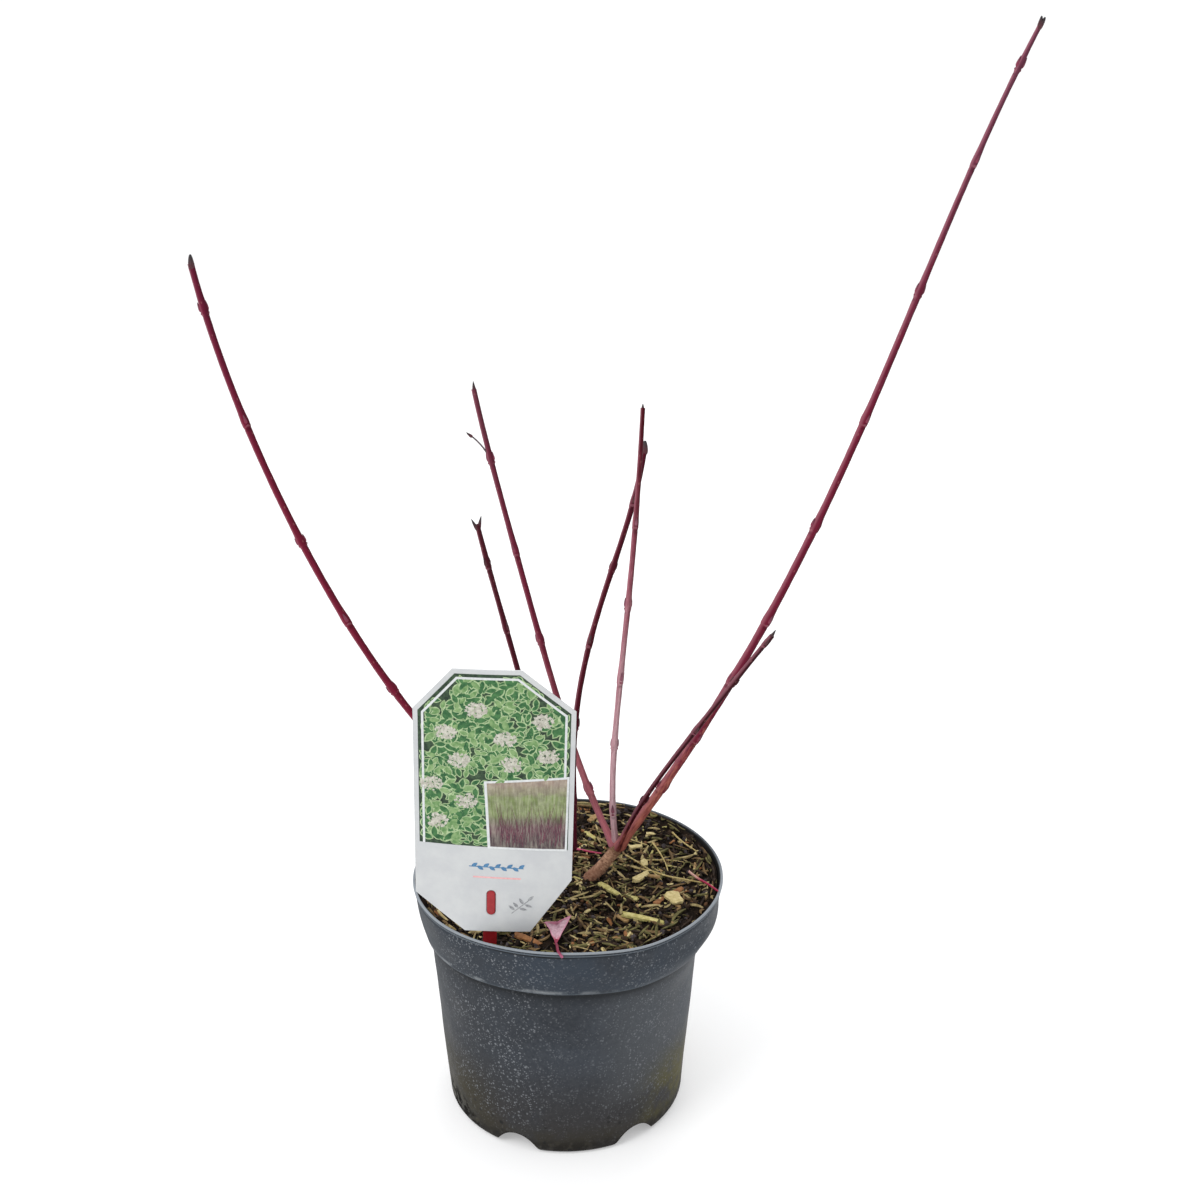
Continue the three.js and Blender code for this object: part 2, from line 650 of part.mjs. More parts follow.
// A round strand along points, closed at both ends
function strandSolid(points, thickness) {
  const places = points.map((point) => new THREE.Vector3(...point));
  const extrudePath = new THREE.CatmullRomCurve3(places, false, 'centripetal');
  const section = new THREE.Shape();
  section.absarc(0, 0, thickness / 2, 0, 2 * Math.PI, false);
  const sweep = { steps: 14, extrudePath, curveSegments: 3, bevelEnabled: false };
  return solidOf(new THREE.ExtrudeGeometry(section, sweep));
}

// A height that clears the soil at a place by half a strand and a little more
function restingHeight([x, y], thickness) {
  return soilHeight(x, y) + thickness / 2 + 0.55;
}

function stalkSolid({ from, to, overLip, thickness }) {
  const along = [0, 0.33, 0.66, 1].map((t) => [lerp(from[0], to[0], t), lerp(from[1], to[1], t)]);
  const lipClear = POT.height + thickness / 2 + 0.45;
  return strandSolid(along.map((place, i) => {
    const resting = restingHeight(place, thickness);
    return [...place, overLip ? Math.max(resting, lerp(resting, lipClear, smoothstep(i, 0.5, 3))) : resting];
  }), thickness);
}

// The fallen leaf: a blade folded along its middle, from a narrow foot to a wide slanting end, and its stalk
function leafSolid() {
  const { foot, tip, width, fold, lift, slant, thickness, rows } = LEAF;
  const length = Math.hypot(tip[0] - foot[0], tip[1] - foot[1]);
  const heading = Math.atan2(tip[1] - foot[1], tip[0] - foot[0]);
  const ground = Math.max(soilHeight(...foot), soilHeight(...tip)) + 1.6;
  const blade = new THREE.BoxGeometry(1, 1, thickness, rows, 2, 1);
  reshape(blade, (vertex) => {
    const t = vertex.x + 0.5;
    const y = vertex.y * width * (0.08 + 1.02 * t ** 1.15);
    const reach = length * t * (1 - (0.16 + slant * vertex.y) * t ** 3);
    vertex.set(reach, y, vertex.z + fold * Math.abs(y) + lift * t * t);
  });
  blade.rotateZ(heading).translate(foot[0], foot[1], ground);
  const { over, end, endHeight } = LEAF_STALK;
  const stalk = strandSolid([
    [lerp(foot[0], tip[0], 0.2), lerp(foot[1], tip[1], 0.2), ground + 0.3],
    [foot[0], foot[1], ground],
    [lerp(foot[0], over[0], 0.6), lerp(foot[1], over[1], 0.6), lerp(ground, POT.height + 1.6, 0.75)],
    [over[0], over[1], POT.height + 1.6],
    [end[0], end[1], POT.height - 0.9],
    [end[0], end[1], endHeight],
  ], LEAF_STALK.thickness);
  return solidOf(blade).add(stalk);
}

// The label's own frame: it leans forward a little and is turned a little in its plane
const label = new THREE.Group();
label.position.set(...LABEL.foot);
label.rotation.set(radians(LABEL.leanDegrees), radians(LABEL.rollDegrees), 0);
label.updateMatrix();
label.add(meshOf('label_card', cardSolid(), MATERIALS.card));
label.add(meshOf('label_stake', stakeSolid(), MATERIALS.stake));
const stakeCutter = solidOf(geometryOf(stakeBlade(CLEARANCE)).applyMatrix4(label.matrix));

const shrub = new THREE.Group();
Object.entries(TRUNKS).forEach(([name, trunk]) => {
  shrub.add(meshOf(name, trunkSolid(trunk), MATERIALS.trunkBark));
});
stems().forEach((mesh) => shrub.add(mesh));

const litter = new THREE.Group();
litter.add(meshOf('fallen_leaf', leafSolid(), MATERIALS.fallen));
Object.entries(STALKS).forEach(([name, stalk]) => {
  litter.add(meshOf(name, stalkSolid(stalk), MATERIALS.fallen));
});

const plant = new THREE.Group();
plant.add(meshOf('pot', potSolid(), MATERIALS.pot));
plant.add(meshOf('soil', soilSolid(stakeCutter), MATERIALS.soil));
plant.add(shrub, label, litter);

export default plant;
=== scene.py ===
"""The looks of a young potted tatarian dogwood in winter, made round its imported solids.

Lengths are millimetres up to the point where a mesh goes into the scene, which is in metres. +Z is up, the
front faces -Y, and the origin is the middle of the pot's underside. A colour is six hexadecimal digits.
"""

from __future__ import annotations

import logging
import math
from collections.abc import Callable, Sequence
from dataclasses import dataclass, field
from enum import Enum
from functools import cache

import bpy
import numpy as np
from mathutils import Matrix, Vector


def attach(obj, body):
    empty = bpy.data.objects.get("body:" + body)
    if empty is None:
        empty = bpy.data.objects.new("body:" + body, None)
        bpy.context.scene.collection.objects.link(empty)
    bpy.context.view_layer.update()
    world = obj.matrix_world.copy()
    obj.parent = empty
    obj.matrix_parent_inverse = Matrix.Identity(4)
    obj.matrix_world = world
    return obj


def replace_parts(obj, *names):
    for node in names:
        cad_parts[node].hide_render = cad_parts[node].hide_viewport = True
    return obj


LOG = logging.getLogger("potted_dogwood")
Array = np.ndarray
Socket = bpy.types.NodeSocket

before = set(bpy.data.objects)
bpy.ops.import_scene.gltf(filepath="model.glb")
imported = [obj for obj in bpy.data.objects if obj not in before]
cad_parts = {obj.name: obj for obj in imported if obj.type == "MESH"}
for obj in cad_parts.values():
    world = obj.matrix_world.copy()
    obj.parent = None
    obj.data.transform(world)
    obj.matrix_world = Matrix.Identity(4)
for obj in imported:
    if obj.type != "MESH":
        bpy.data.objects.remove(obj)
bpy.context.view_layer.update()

MM = 0.001
TURN = 2 * math.pi
CLEARANCE = 0.3
SOIL_LEVEL = 132.5
POT_HEIGHT = 136.5
TRUNK_FEET = ((15.0, 1.4), (-2.0, 8.8))
STAKE = (-37.6, -66.0)
STAKE_IN_SOIL = (-37.3, -65.5)
LEAF = ((-3.5, -67.8), (-3.3, -48.5))
RIGHT_STALK = ((67.5, 6.0), (82.4, -23.0))
LEFT_STALK = ((4.5, 29.0), (20.0, 24.8))


# Numbers and shapes


def smoothstep(value: Array, low: float, high: float) -> Array:
    """A smooth step from 0 at low to 1 at high."""
    share = np.clip((value - low) / (high - low), 0.0, 1.0)
    return share * share * (3 - 2 * share)


def hump(away: Array, width: float) -> Array:
    """A bell that is 1 where away is 0."""
    return np.exp(-((away / width) ** 2))


def unit(vectors: Array) -> Array:
    """The same vectors, each of length one."""
    return vectors / np.linalg.norm(vectors, axis=-1, keepdims=True)


def ripple(points: Array, *sums: tuple[float, float, int]) -> Array:
    """Smooth seeded relief: sums of nine plane waves with drawn headings, lengths and phases.

    Args:
        points: places, with x, y and z last.
        sums: the height, the waves' middle length and the seed of each sum's draw.

    Returns:
        One value for each place.
    """
    total = np.zeros(points.shape[:-1])
    for height, wavelength, seed in sums:
        draw = np.random.default_rng(seed)
        headings = unit(draw.normal(size=(9, 3)))
        pitch = TURN / (wavelength * draw.uniform(0.7, 1.5, 9))
        phases = draw.uniform(0, TURN, 9)
        total += height * (1.7 * np.sin(points @ (headings * pitch[:, None]).T + phases).mean(axis=-1))
    return total


def seeded_values(seed: int) -> Callable[[], float]:
    """A repeatable source of numbers from 0 to 1: a linear congruential rule, the same as the solids' own."""
    state = seed

    def following() -> float:
        """The next number."""
        nonlocal state
        state = (state * 1664525 + 1013904223) % 4294967296
        return state / 4294967296

    return following


def about(axis: int, angle: Array | float) -> Array:
    """Matrices that turn by angles in radians round an axis: 0 is x, 1 is y and 2 is z."""
    angle = np.asarray(angle, float)
    second, third = (axis + 1) % 3, (axis + 2) % 3
    matrix = np.zeros((*angle.shape, 3, 3))
    matrix[..., axis, axis] = 1.0
    matrix[..., second, second] = matrix[..., third, third] = np.cos(angle)
    matrix[..., third, second] = np.sin(angle)
    matrix[..., second, third] = -np.sin(angle)
    return matrix


def turned_frames(heading: Array, pitch: Array, roll: Array, size: Array) -> Array:
    """Frames that stretch a shape by size, roll it about x, pitch it about y and head it about z."""
    return about(2, heading) @ about(1, pitch) @ about(0, roll) * size[:, None]


def arc(centre: tuple[float, float], radius: float, start: float, stop: float, count: int) -> Array:
    """Points on a circle's arc in a plane, between two angles in degrees."""
    angles = np.radians(np.linspace(start, stop, count + 1))
    return np.array(centre) + radius * np.stack([np.cos(angles), np.sin(angles)], -1)


def refined(line: Array, spacing: float, closed: bool = False) -> Array:
    """The same line with more points: each straight stretch is split evenly into pieces up to the spacing."""
    ends = np.vstack([line, line[:1]]) if closed else line
    lengths = np.linalg.norm(np.diff(ends, axis=0), axis=1)
    pieces = np.maximum(1, np.ceil(lengths / spacing)).astype(int)
    which = np.repeat(np.arange(len(pieces)), pieces)
    share = np.concatenate([np.arange(n) / n for n in pieces])[:, None]
    fine = ends[which] * (1 - share) + ends[which + 1] * share
    return fine if closed else np.vstack([fine, line[-1:]])


def polar(levels: Array, sides: int, shift: float = 0.0) -> tuple[Array, Array]:
    """Two grids for rings of so many points: each point's level, and its angle."""
    return np.meshgrid(levels, (np.arange(sides) + shift) / sides * TURN, indexing="ij")


def cylinder(radius: Array, angle: Array, height: Array) -> Array:
    """Places round +Z."""
    return np.stack([radius * np.cos(angle), radius * np.sin(angle), height], -1)


def upright(outline: Array, y: float) -> Array:
    """An outline in x and z as places in space, all at one y."""
    return np.column_stack([outline[:, 0], np.full(len(outline), y), outline[:, 1]])


@dataclass
class Surface:
    """Points, the faces that join them, and values that the points carry.

    Attributes:
        points: an (n, 3) array in millimetres.
        faces: one array of corner numbers for each count of corners a face has.
        marks: by name, one value or one vector for each point.
    """

    points: Array
    faces: list[Array]
    marks: dict[str, Array] = field(default_factory=dict)


def joined(surfaces: Sequence[Surface]) -> Surface:
    """Several surfaces as one, with the marks that all of them have."""
    starts = np.cumsum([0, *(len(s.points) for s in surfaces[:-1])])
    faces = [corners + start for s, start in zip(surfaces, starts) for corners in s.faces]
    names = set.intersection(*(set(s.marks) for s in surfaces))
    marks = {name: np.concatenate([s.marks[name] for s in surfaces]) for name in sorted(names)}
    return Surface(np.vstack([s.points for s in surfaces]), faces, marks)


def grid(points: Array) -> Surface:
    """Quads over a (rings, sides, 3) array of points, each ring closed."""
    rows, columns = points.shape[:2]
    index = np.arange(rows * columns).reshape(rows, columns)
    index = np.concatenate([index, index[:, :1]], axis=1)
    quads = np.stack([index[:-1, :-1], index[:-1, 1:], index[1:, 1:], index[1:, :-1]], axis=-1)
    return Surface(points.reshape(-1, 3), [quads.reshape(-1, 4)])


def tube(rings: Array, **marks: Array) -> Surface:
    """A closed body from rings of points: quads between the rings and a fan over each end ring's middle.

    Args:
        rings: a (rings, sides, 3) array, each ring counter-clockwise seen from the last ring's side.
        marks: by name, a (rings, sides) or (rings, sides, 3) array of values for the points.

    Returns:
        The body, with the two middles as its last points.
    """
    count, sides = rings.shape[:2]
    body = grid(rings)
    first = np.arange(sides)
    following = np.roll(first, -1)
    last = (count - 1) * sides
    foot = np.stack([following, first, np.full(sides, count * sides)], -1)
    head = np.stack([first + last, following + last, np.full(sides, count * sides + 1)], -1)
    kept = {
        name: np.concatenate([values.reshape(count * sides, -1), values[[0, -1]].mean(axis=1).reshape(2, -1)])
        for name, values in marks.items()
    }
    points = np.vstack([body.points, rings[[0, -1]].mean(axis=1)])
    return Surface(points, [body.faces[0], np.vstack([foot, head])], kept)


def turned(profile: Array, sides: int) -> Surface:
    """A body turned round +Z from a profile of radii and heights."""
    radius, angle = polar(profile[:, 0], sides)
    return tube(cylinder(radius, angle, polar(profile[:, 1], sides)[0]))


def prism(outline: Array, low: float, high: float) -> Surface:
    """A straight prism: an outline in x and z, counter-clockwise seen from -Y, between two places along y."""
    body = grid(np.stack([upright(outline, high), upright(outline, low)]))
    first = np.arange(len(outline))
    return Surface(body.points, [body.faces[0], np.stack([first[::-1], first + len(outline)])])


def repeated(shape: Surface, frames: Array, places: Array) -> Surface:
    """Copies of a small shape as one surface: copy k is the shape times frame k, moved to place k."""
    count = len(places)
    points = np.einsum("kij,nj->kni", frames, shape.points) + places[:, None]
    starts = (len(shape.points) * np.arange(count))[:, None, None]
    faces = [(corners[None] + starts).reshape(-1, corners.shape[1]) for corners in shape.faces]
    marks = {name: np.tile(values, (count, 1)) for name, values in shape.marks.items()}
    return Surface(points.reshape(-1, 3), faces, marks)


def mixed(shapes: Sequence[Surface], frames: Array, places: Array) -> Surface:
    """Copies as one surface that take turns among several shapes."""
    count = len(shapes)
    return joined([repeated(shape, frames[i::count], places[i::count]) for i, shape in enumerate(shapes)])


def put(name: str, surface: Surface, finish: Look, sharp: float = 50.0) -> bpy.types.Object:
    """Puts a surface into the scene as a smooth mesh that rides on the plant's one body.

    Args:
        name: the piece's name.
        surface: its shape, in millimetres.
        finish: its finish.
        sharp: the angle in degrees above which an edge stays crisp.

    Returns:
        The new object.
    """
    mesh = bpy.data.meshes.new(name)
    corners = np.concatenate([faces.ravel() for faces in surface.faces])
    sizes = np.concatenate([np.full(len(faces), faces.shape[1]) for faces in surface.faces])
    mesh.vertices.add(len(surface.points))
    mesh.vertices.foreach_set("co", (surface.points * MM).astype(np.float32).ravel())
    mesh.loops.add(len(corners))
    mesh.loops.foreach_set("vertex_index", corners.astype(np.int32))
    mesh.polygons.add(len(sizes))
    mesh.polygons.foreach_set("loop_start", (np.cumsum(sizes) - sizes).astype(np.int32))
    mesh.polygons.foreach_set("use_smooth", np.ones(len(sizes), bool))
    for mark, values in surface.marks.items():
        kind, key = ("FLOAT_VECTOR", "vector") if values.shape[1:] == (3,) else ("FLOAT", "value")
        mesh.attributes.new(mark, kind, "POINT").data.foreach_set(key, values.astype(np.float32).ravel())
    mesh.update(calc_edges=True)
    mesh.validate()
    mesh.set_sharp_from_angle(angle=math.radians(sharp))
    mesh.materials.append(material(finish))
    piece = bpy.data.objects.new(name, mesh)
    bpy.context.scene.collection.objects.link(piece)
    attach(piece, "root")
    LOG.info("%s: %d faces", name, len(sizes))
    return piece


def cut(piece: bpy.types.Object, cutter: Surface, sharp: float = 50.0) -> None:
    """Cuts a shape out of a piece for good, by a Boolean whose result becomes the piece's mesh."""
    tool = bpy.data.meshes.new("cutter")
    rows = [row for faces in cutter.faces for row in faces.tolist()]
    tool.from_pydata((cutter.points * MM).tolist(), [], rows)
    holder = bpy.data.objects.new("cutter", tool)
    bpy.context.scene.collection.objects.link(holder)
    modifier = piece.modifiers.new("cut", "BOOLEAN")
    modifier.operation = "DIFFERENCE"
    modifier.solver = "EXACT"
    modifier.object = holder
    result = bpy.data.meshes.new_from_object(piece.evaluated_get(bpy.context.evaluated_depsgraph_get()))
    piece.modifiers.clear()
    name, old = piece.data.name, piece.data
    piece.data = result
    bpy.data.meshes.remove(old)
    result.name = name
    result.set_sharp_from_angle(angle=math.radians(sharp))
    bpy.data.objects.remove(holder)
    bpy.data.meshes.remove(tool)


# Finishes


def linear(tint: str) -> tuple[float, float, float, float]:
    """A colour in the linear values that shaders take."""
    shares = [int(tint[i:i + 2], 16) / 255 for i in (0, 2, 4)]
    red, green, blue = (s / 12.92 if s <= 0.04045 else ((s + 0.055) / 1.055) ** 2.4 for s in shares)
    return red, green, blue, 1.0


class Tree:
    """A material's or a group's node tree, with short calls that add nodes and join them."""

    def __init__(self, tree: bpy.types.NodeTree) -> None:
        """Takes the tree that the calls fill."""
        self.tree = tree

    def add(self, kind: str, inputs: dict | None = None, **settings: object) -> bpy.types.Node:
        """Adds a node, with its settings and with values, colours or sockets for its inputs."""
        node = self.tree.nodes.new(kind)
        for name, value in settings.items():
            setattr(node, name, value)
        for name, value in (inputs or {}).items():
            self.feed(node.inputs[name], value)
        return node

    def feed(self, socket: Socket, value: object) -> None:
        """Joins a socket to an output, or sets its value."""
        if isinstance(value, Socket):
            self.tree.links.new(value, socket)
        else:
            socket.default_value = linear(value) if isinstance(value, str) else value

    def place(self, kind: str = "Object") -> Socket:
        """The object's own coordinates, in metres."""
        return self.add("ShaderNodeTexCoord").outputs[kind]

    def axes(self, vector: Socket) -> bpy.types.bpy_prop_collection:
        """A vector's x, y and z."""
        return self.add("ShaderNodeSeparateXYZ", {0: vector}).outputs

    def mark(self, name: str, vector: bool = False) -> Socket:
        """A value or vector that the mesh's points carry."""
        return self.add("ShaderNodeAttribute", attribute_name=name).outputs["Vector" if vector else "Fac"]

    def stretched(self, vector: Socket, scale: tuple[float, float, float]) -> Socket:
        """A vector scaled along each axis."""
        return self.add("ShaderNodeMapping", {"Vector": vector, "Scale": scale}).outputs[0]

    def noise(self, vector: Socket, scale: object, detail: float = 4.0, roughness: float = 0.55) -> Socket:
        """Cloudy noise from 0 to 1, with so many clouds to a unit."""
        inputs = {"Vector": vector, "Scale": scale, "Detail": detail, "Roughness": roughness}
        return self.add("ShaderNodeTexNoise", inputs).outputs["Fac"]

    def cells(self, vector: Socket, scale: object) -> bpy.types.bpy_prop_collection:
        """Scattered points: the distance to the nearest, in cells, and its random colour."""
        return self.add("ShaderNodeTexVoronoi", {"Vector": vector, "Scale": scale}).outputs

    def math(self, operation: str, first: object, second: object = 0.0) -> Socket:
        """One sum, product or the like of two values."""
        return self.add("ShaderNodeMath", {0: first, 1: second}, operation=operation).outputs[0]

    def plus(self, first: object, second: object) -> Socket:
        """A sum."""
        return self.math("ADD", first, second)

    def times(self, first: object, *others: object) -> Socket:
        """A product: where several masks meet, if it is one of masks."""
        for other in others:
            first = self.math("MULTIPLY", first, other)
        return first

    def step(self, value: object, low: float, high: float, to_low: float = 0.0,
             to_high: float = 1.0) -> Socket:
        """A smooth step from one value at low to another at high."""
        inputs = {"Value": value, "From Min": low, "From Max": high, "To Min": to_low, "To Max": to_high}
        return self.add("ShaderNodeMapRange", inputs, interpolation_type="SMOOTHSTEP").outputs[0]

    def layers(self, colour: object, *coats: tuple) -> Socket:
        """A colour under coats: each is a tint, and masks whose product is how much of it lies there."""
        for tint, *masks in coats:
            inputs = {0: self.times(*masks), 6: colour, 7: tint}
            colour = self.add("ShaderNodeMix", inputs, data_type="RGBA").outputs[2]
        return colour

    def bump(self, height: Socket, depth: float) -> Socket:
        """A normal bent by a relief of so many millimetres."""
        inputs = {"Height": height, "Distance": depth * MM, "Strength": 1.0}
        return self.add("ShaderNodeBump", inputs).outputs[0]

    def group(self, tree: bpy.types.NodeTree, vector: Socket, scale: float) -> bpy.types.bpy_prop_collection:
        """Places a node group of some scale: its outputs."""
        return self.add("ShaderNodeGroup", {"Vector": vector, "Scale": scale}, node_tree=tree).outputs

    def grain(self, vector: Socket, scale: float) -> tuple[Socket, Socket]:
        """Fine grain, so many grains to a unit: its mask and its height."""
        outputs = self.group(grain_group(), vector, scale)
        return outputs["Mask"], outputs["Height"]


def new_group(name: str, outputs: Sequence[str]) -> tuple[Tree, Socket, Socket]:
    """Starts a shader node group that takes a vector and a scale.

    Args:
        name: the group's name.
        outputs: the names of the values it puts out.

    Returns:
        The group's tree, its vector and its scale.
    """
    tree = bpy.data.node_groups.new(name, "ShaderNodeTree")
    for label, way, kind in (("Vector", "INPUT", "Vector"), ("Scale", "INPUT", "Float"),
                             *((label, "OUTPUT", "Float") for label in outputs)):
        tree.interface.new_socket(name=label, in_out=way, socket_type=f"NodeSocket{kind}")
    maker = Tree(tree)
    given = maker.add("NodeGroupInput").outputs
    return maker, given["Vector"], given["Scale"]


@cache
def grain_group() -> bpy.types.NodeTree:
    """Fine grain: soft clouds and sharp specks of one scale, as a mask and as a height."""
    maker, vector, scale = new_group("fine_grain", ("Mask", "Height"))
    clouds = maker.noise(vector, scale, 5.0, 0.65)
    finer = maker.noise(vector, maker.times(scale, 4.3), 3.0, 0.6)
    height = maker.plus(clouds, maker.times(finer, 0.4))
    maker.add("NodeGroupOutput", {"Mask": maker.step(clouds, 0.32, 0.68), "Height": height})
    return maker.tree


@cache
def dust_group() -> bpy.types.NodeTree:
    """Dried splashes: round pale specks of many sizes that gather in drifts."""
    maker, vector, scale = new_group("dust", ("Mask",))
    mask: object = 0.0
    for share, most in ((2.3, 0.55), (1.2, 0.48)):
        dots = maker.cells(vector, maker.times(scale, share))
        size = maker.step(dots["Color"], 0.2, 0.85, 0.0, most)
        inside = maker.math("SUBTRACT", size, dots["Distance"])
        mask = maker.math("MAXIMUM", mask, maker.step(inside, 0.0, 0.3))
    for share, low, high in ((0.42, 0.3, 0.56), (0.1, 0.3, 0.5)):
        drift = maker.noise(vector, maker.times(scale, share), 3.0, 0.6)
        mask = maker.times(mask, maker.step(drift, low, high, 0.12, 1.0))
    maker.add("NodeGroupOutput", {"Mask": mask})
    return maker.tree


class Look:
    """What all finishes have.

    Attributes:
        name: the material's name.
        roughness: from 0, gloss, to 1, matt.
        gloss: how strongly it mirrors.
    """

    name: str
    roughness: float = 0.6
    gloss: float = 0.3

    def paint(self, tree: Tree) -> dict[str, object]:
        """What goes into the shader's sockets, by their names."""
        raise NotImplementedError


@cache
def material(finish: Look) -> bpy.types.Material:
    """A finish's material, made once."""
    made = bpy.data.materials.new(finish.name)
    made.use_nodes = True
    tree = Tree(made.node_tree)
    shader = made.node_tree.nodes["Principled BSDF"]
    plain = {"Roughness": finish.roughness, "Specular IOR Level": finish.gloss}
    for socket, value in (*plain.items(), *finish.paint(tree).items()):
        tree.feed(shader.inputs[socket], value)
    return made


@dataclass(frozen=True)
class Finish(Look):
    """A plain finish: one colour that varies a little, with fine grain.

    Attributes:
        tint: the main colour.
        second: the colour that it drifts to.
        grain: how many grains to a metre.
        relief: the grain's depth in millimetres.
    """

    name: str
    tint: str
    second: str
    roughness: float = 0.7
    grain: float = 500.0
    relief: float = 0.1
    gloss: float = 0.3

    def paint(self, tree: Tree) -> dict[str, object]:
        """Two colours in the grain."""
        mask, height = tree.grain(tree.place(), self.grain)
        colour = tree.layers(self.tint, (self.second, mask))
        return {"Base Color": colour, "Normal": tree.bump(height, self.relief)}


@dataclass(frozen=True)
class BarkFinish(Look):
    """Smooth young bark: it changes colour from foot to tip, with fine streaks and small pale pores.

    The mesh carries skin, the place on the stem as if it were straight, along, scar, which is up to 1 on the
    pale line under each pair of buds and down to -1 on the dark band below that, and facing, which goes from
    -1 where the skin faces -X to 1 where it faces +X: the +X side gets painted shade, the -X side a painted
    pale highlight.

    Attributes:
        foot, middle, tip: colours at the stem's foot, middle and tip.
        turn: how far up the stem the foot's colour has gone, from 0 to 1.
        haze: how much pale bloom lies on it in patches.
    """

    name: str
    foot: str
    middle: str
    tip: str
    turn: float = 0.35
    roughness: float = 0.5
    haze: float = 0.03
    gloss = 0.05

    def paint(self, tree: Tree) -> dict[str, object]:
        """The colours along the stem, under streaks, bloom, painted shade and highlight on its sides, scars
        and pores.
        """
        skin = tree.mark("skin", vector=True)
        along, facing, scar = (tree.mark(name) for name in ("along", "facing", "scar"))
        blotches = tree.noise(tree.stretched(skin, (1.0, 1.0, 0.22)), 0.55, 4.0, 0.6)
        shifted = tree.plus(along, tree.times(tree.math("SUBTRACT", blotches, 0.5), 0.5))
        streaks, height = tree.grain(tree.stretched(skin, (1.0, 1.0, 0.07)), 1.7)
        pores = tree.cells(tree.stretched(skin, (1.0, 1.0, 0.5)), 0.42)["Distance"]
        colour = tree.layers(
            self.foot,
            (self.middle, tree.step(shifted, 0.02, self.turn)),
            (self.tip, tree.step(shifted, 0.55, 1.0)),
            ("22060c", streaks, 0.35),
            ("a8787e", tree.step(blotches, 0.5, 0.75), self.haze),
            # painted shade on the side facing +X, a painted pale highlight on the side facing -X
            ("2c060f", tree.step(facing, 0.0, 0.9, 0.0, 0.42)),
            ("b87a88", tree.step(facing, -0.1, -0.9, 0.0, 0.34)),
            ("b07c84", tree.step(scar, 0.15, 1.0, 0.0, 0.34)),
            ("24080e", tree.step(scar, -0.15, -1.0, 0.0, 0.42)),
            ("b8827a", tree.step(pores, 0.20, 0.10, 0.0, 0.18)),
        )
        rough = tree.step(blotches, 0.3, 0.7, self.roughness - 0.08, self.roughness + 0.14)
        return {"Base Color": colour, "Normal": tree.bump(height, 0.05), "Roughness": rough}


@dataclass(frozen=True)
class OldBarkFinish(Look):
    """Old bark on the short trunks: orange-brown, with dark cracks round the trunk and greyish flakes."""

    name: str = "old_bark"
    roughness: float = 0.85

    def paint(self, tree: Tree) -> dict[str, object]:
        """Warm flakes under cracks, redder at the trunk's top and foot."""
        skin, along = tree.mark("skin", vector=True), tree.mark("along")
        rings = tree.noise(tree.stretched(skin, (0.35, 0.35, 1.6)), 0.8, 5.0, 0.65)
        flakes, height = tree.grain(skin, 0.45)
        colour = tree.layers(
            "86604a",
            ("c0967a", flakes),
            ("472c1e", tree.step(rings, 0.50, 0.38), 0.6),
            ("54341c", tree.step(along, 0.6, 1.0, 0.0, 0.75)),
            ("6a4030", tree.step(along, 0.45, 0.1, 0.0, 0.5)),
        )
        return {"Base Color": colour, "Normal": tree.bump(tree.plus(rings, tree.times(height, 0.5)), 0.35)}


@dataclass(frozen=True)
class BudFinish(Look):
    """Winter buds: dark scales with a dusty bloom that turns grey towards the tip."""

    name: str
    foot: str
    tip: str

    def paint(self, tree: Tree) -> dict[str, object]:
        """The foot's colour, the tip's and the bloom."""
        down, height = tree.grain(tree.place(), 1500.0)
        reach = tree.step(tree.mark("along"), 0.15, 0.95)
        colour = tree.layers(self.foot, (self.tip, reach), ("7a7070", down, 0.12))
        return {"Base Color": colour, "Normal": tree.bump(height, 0.06)}


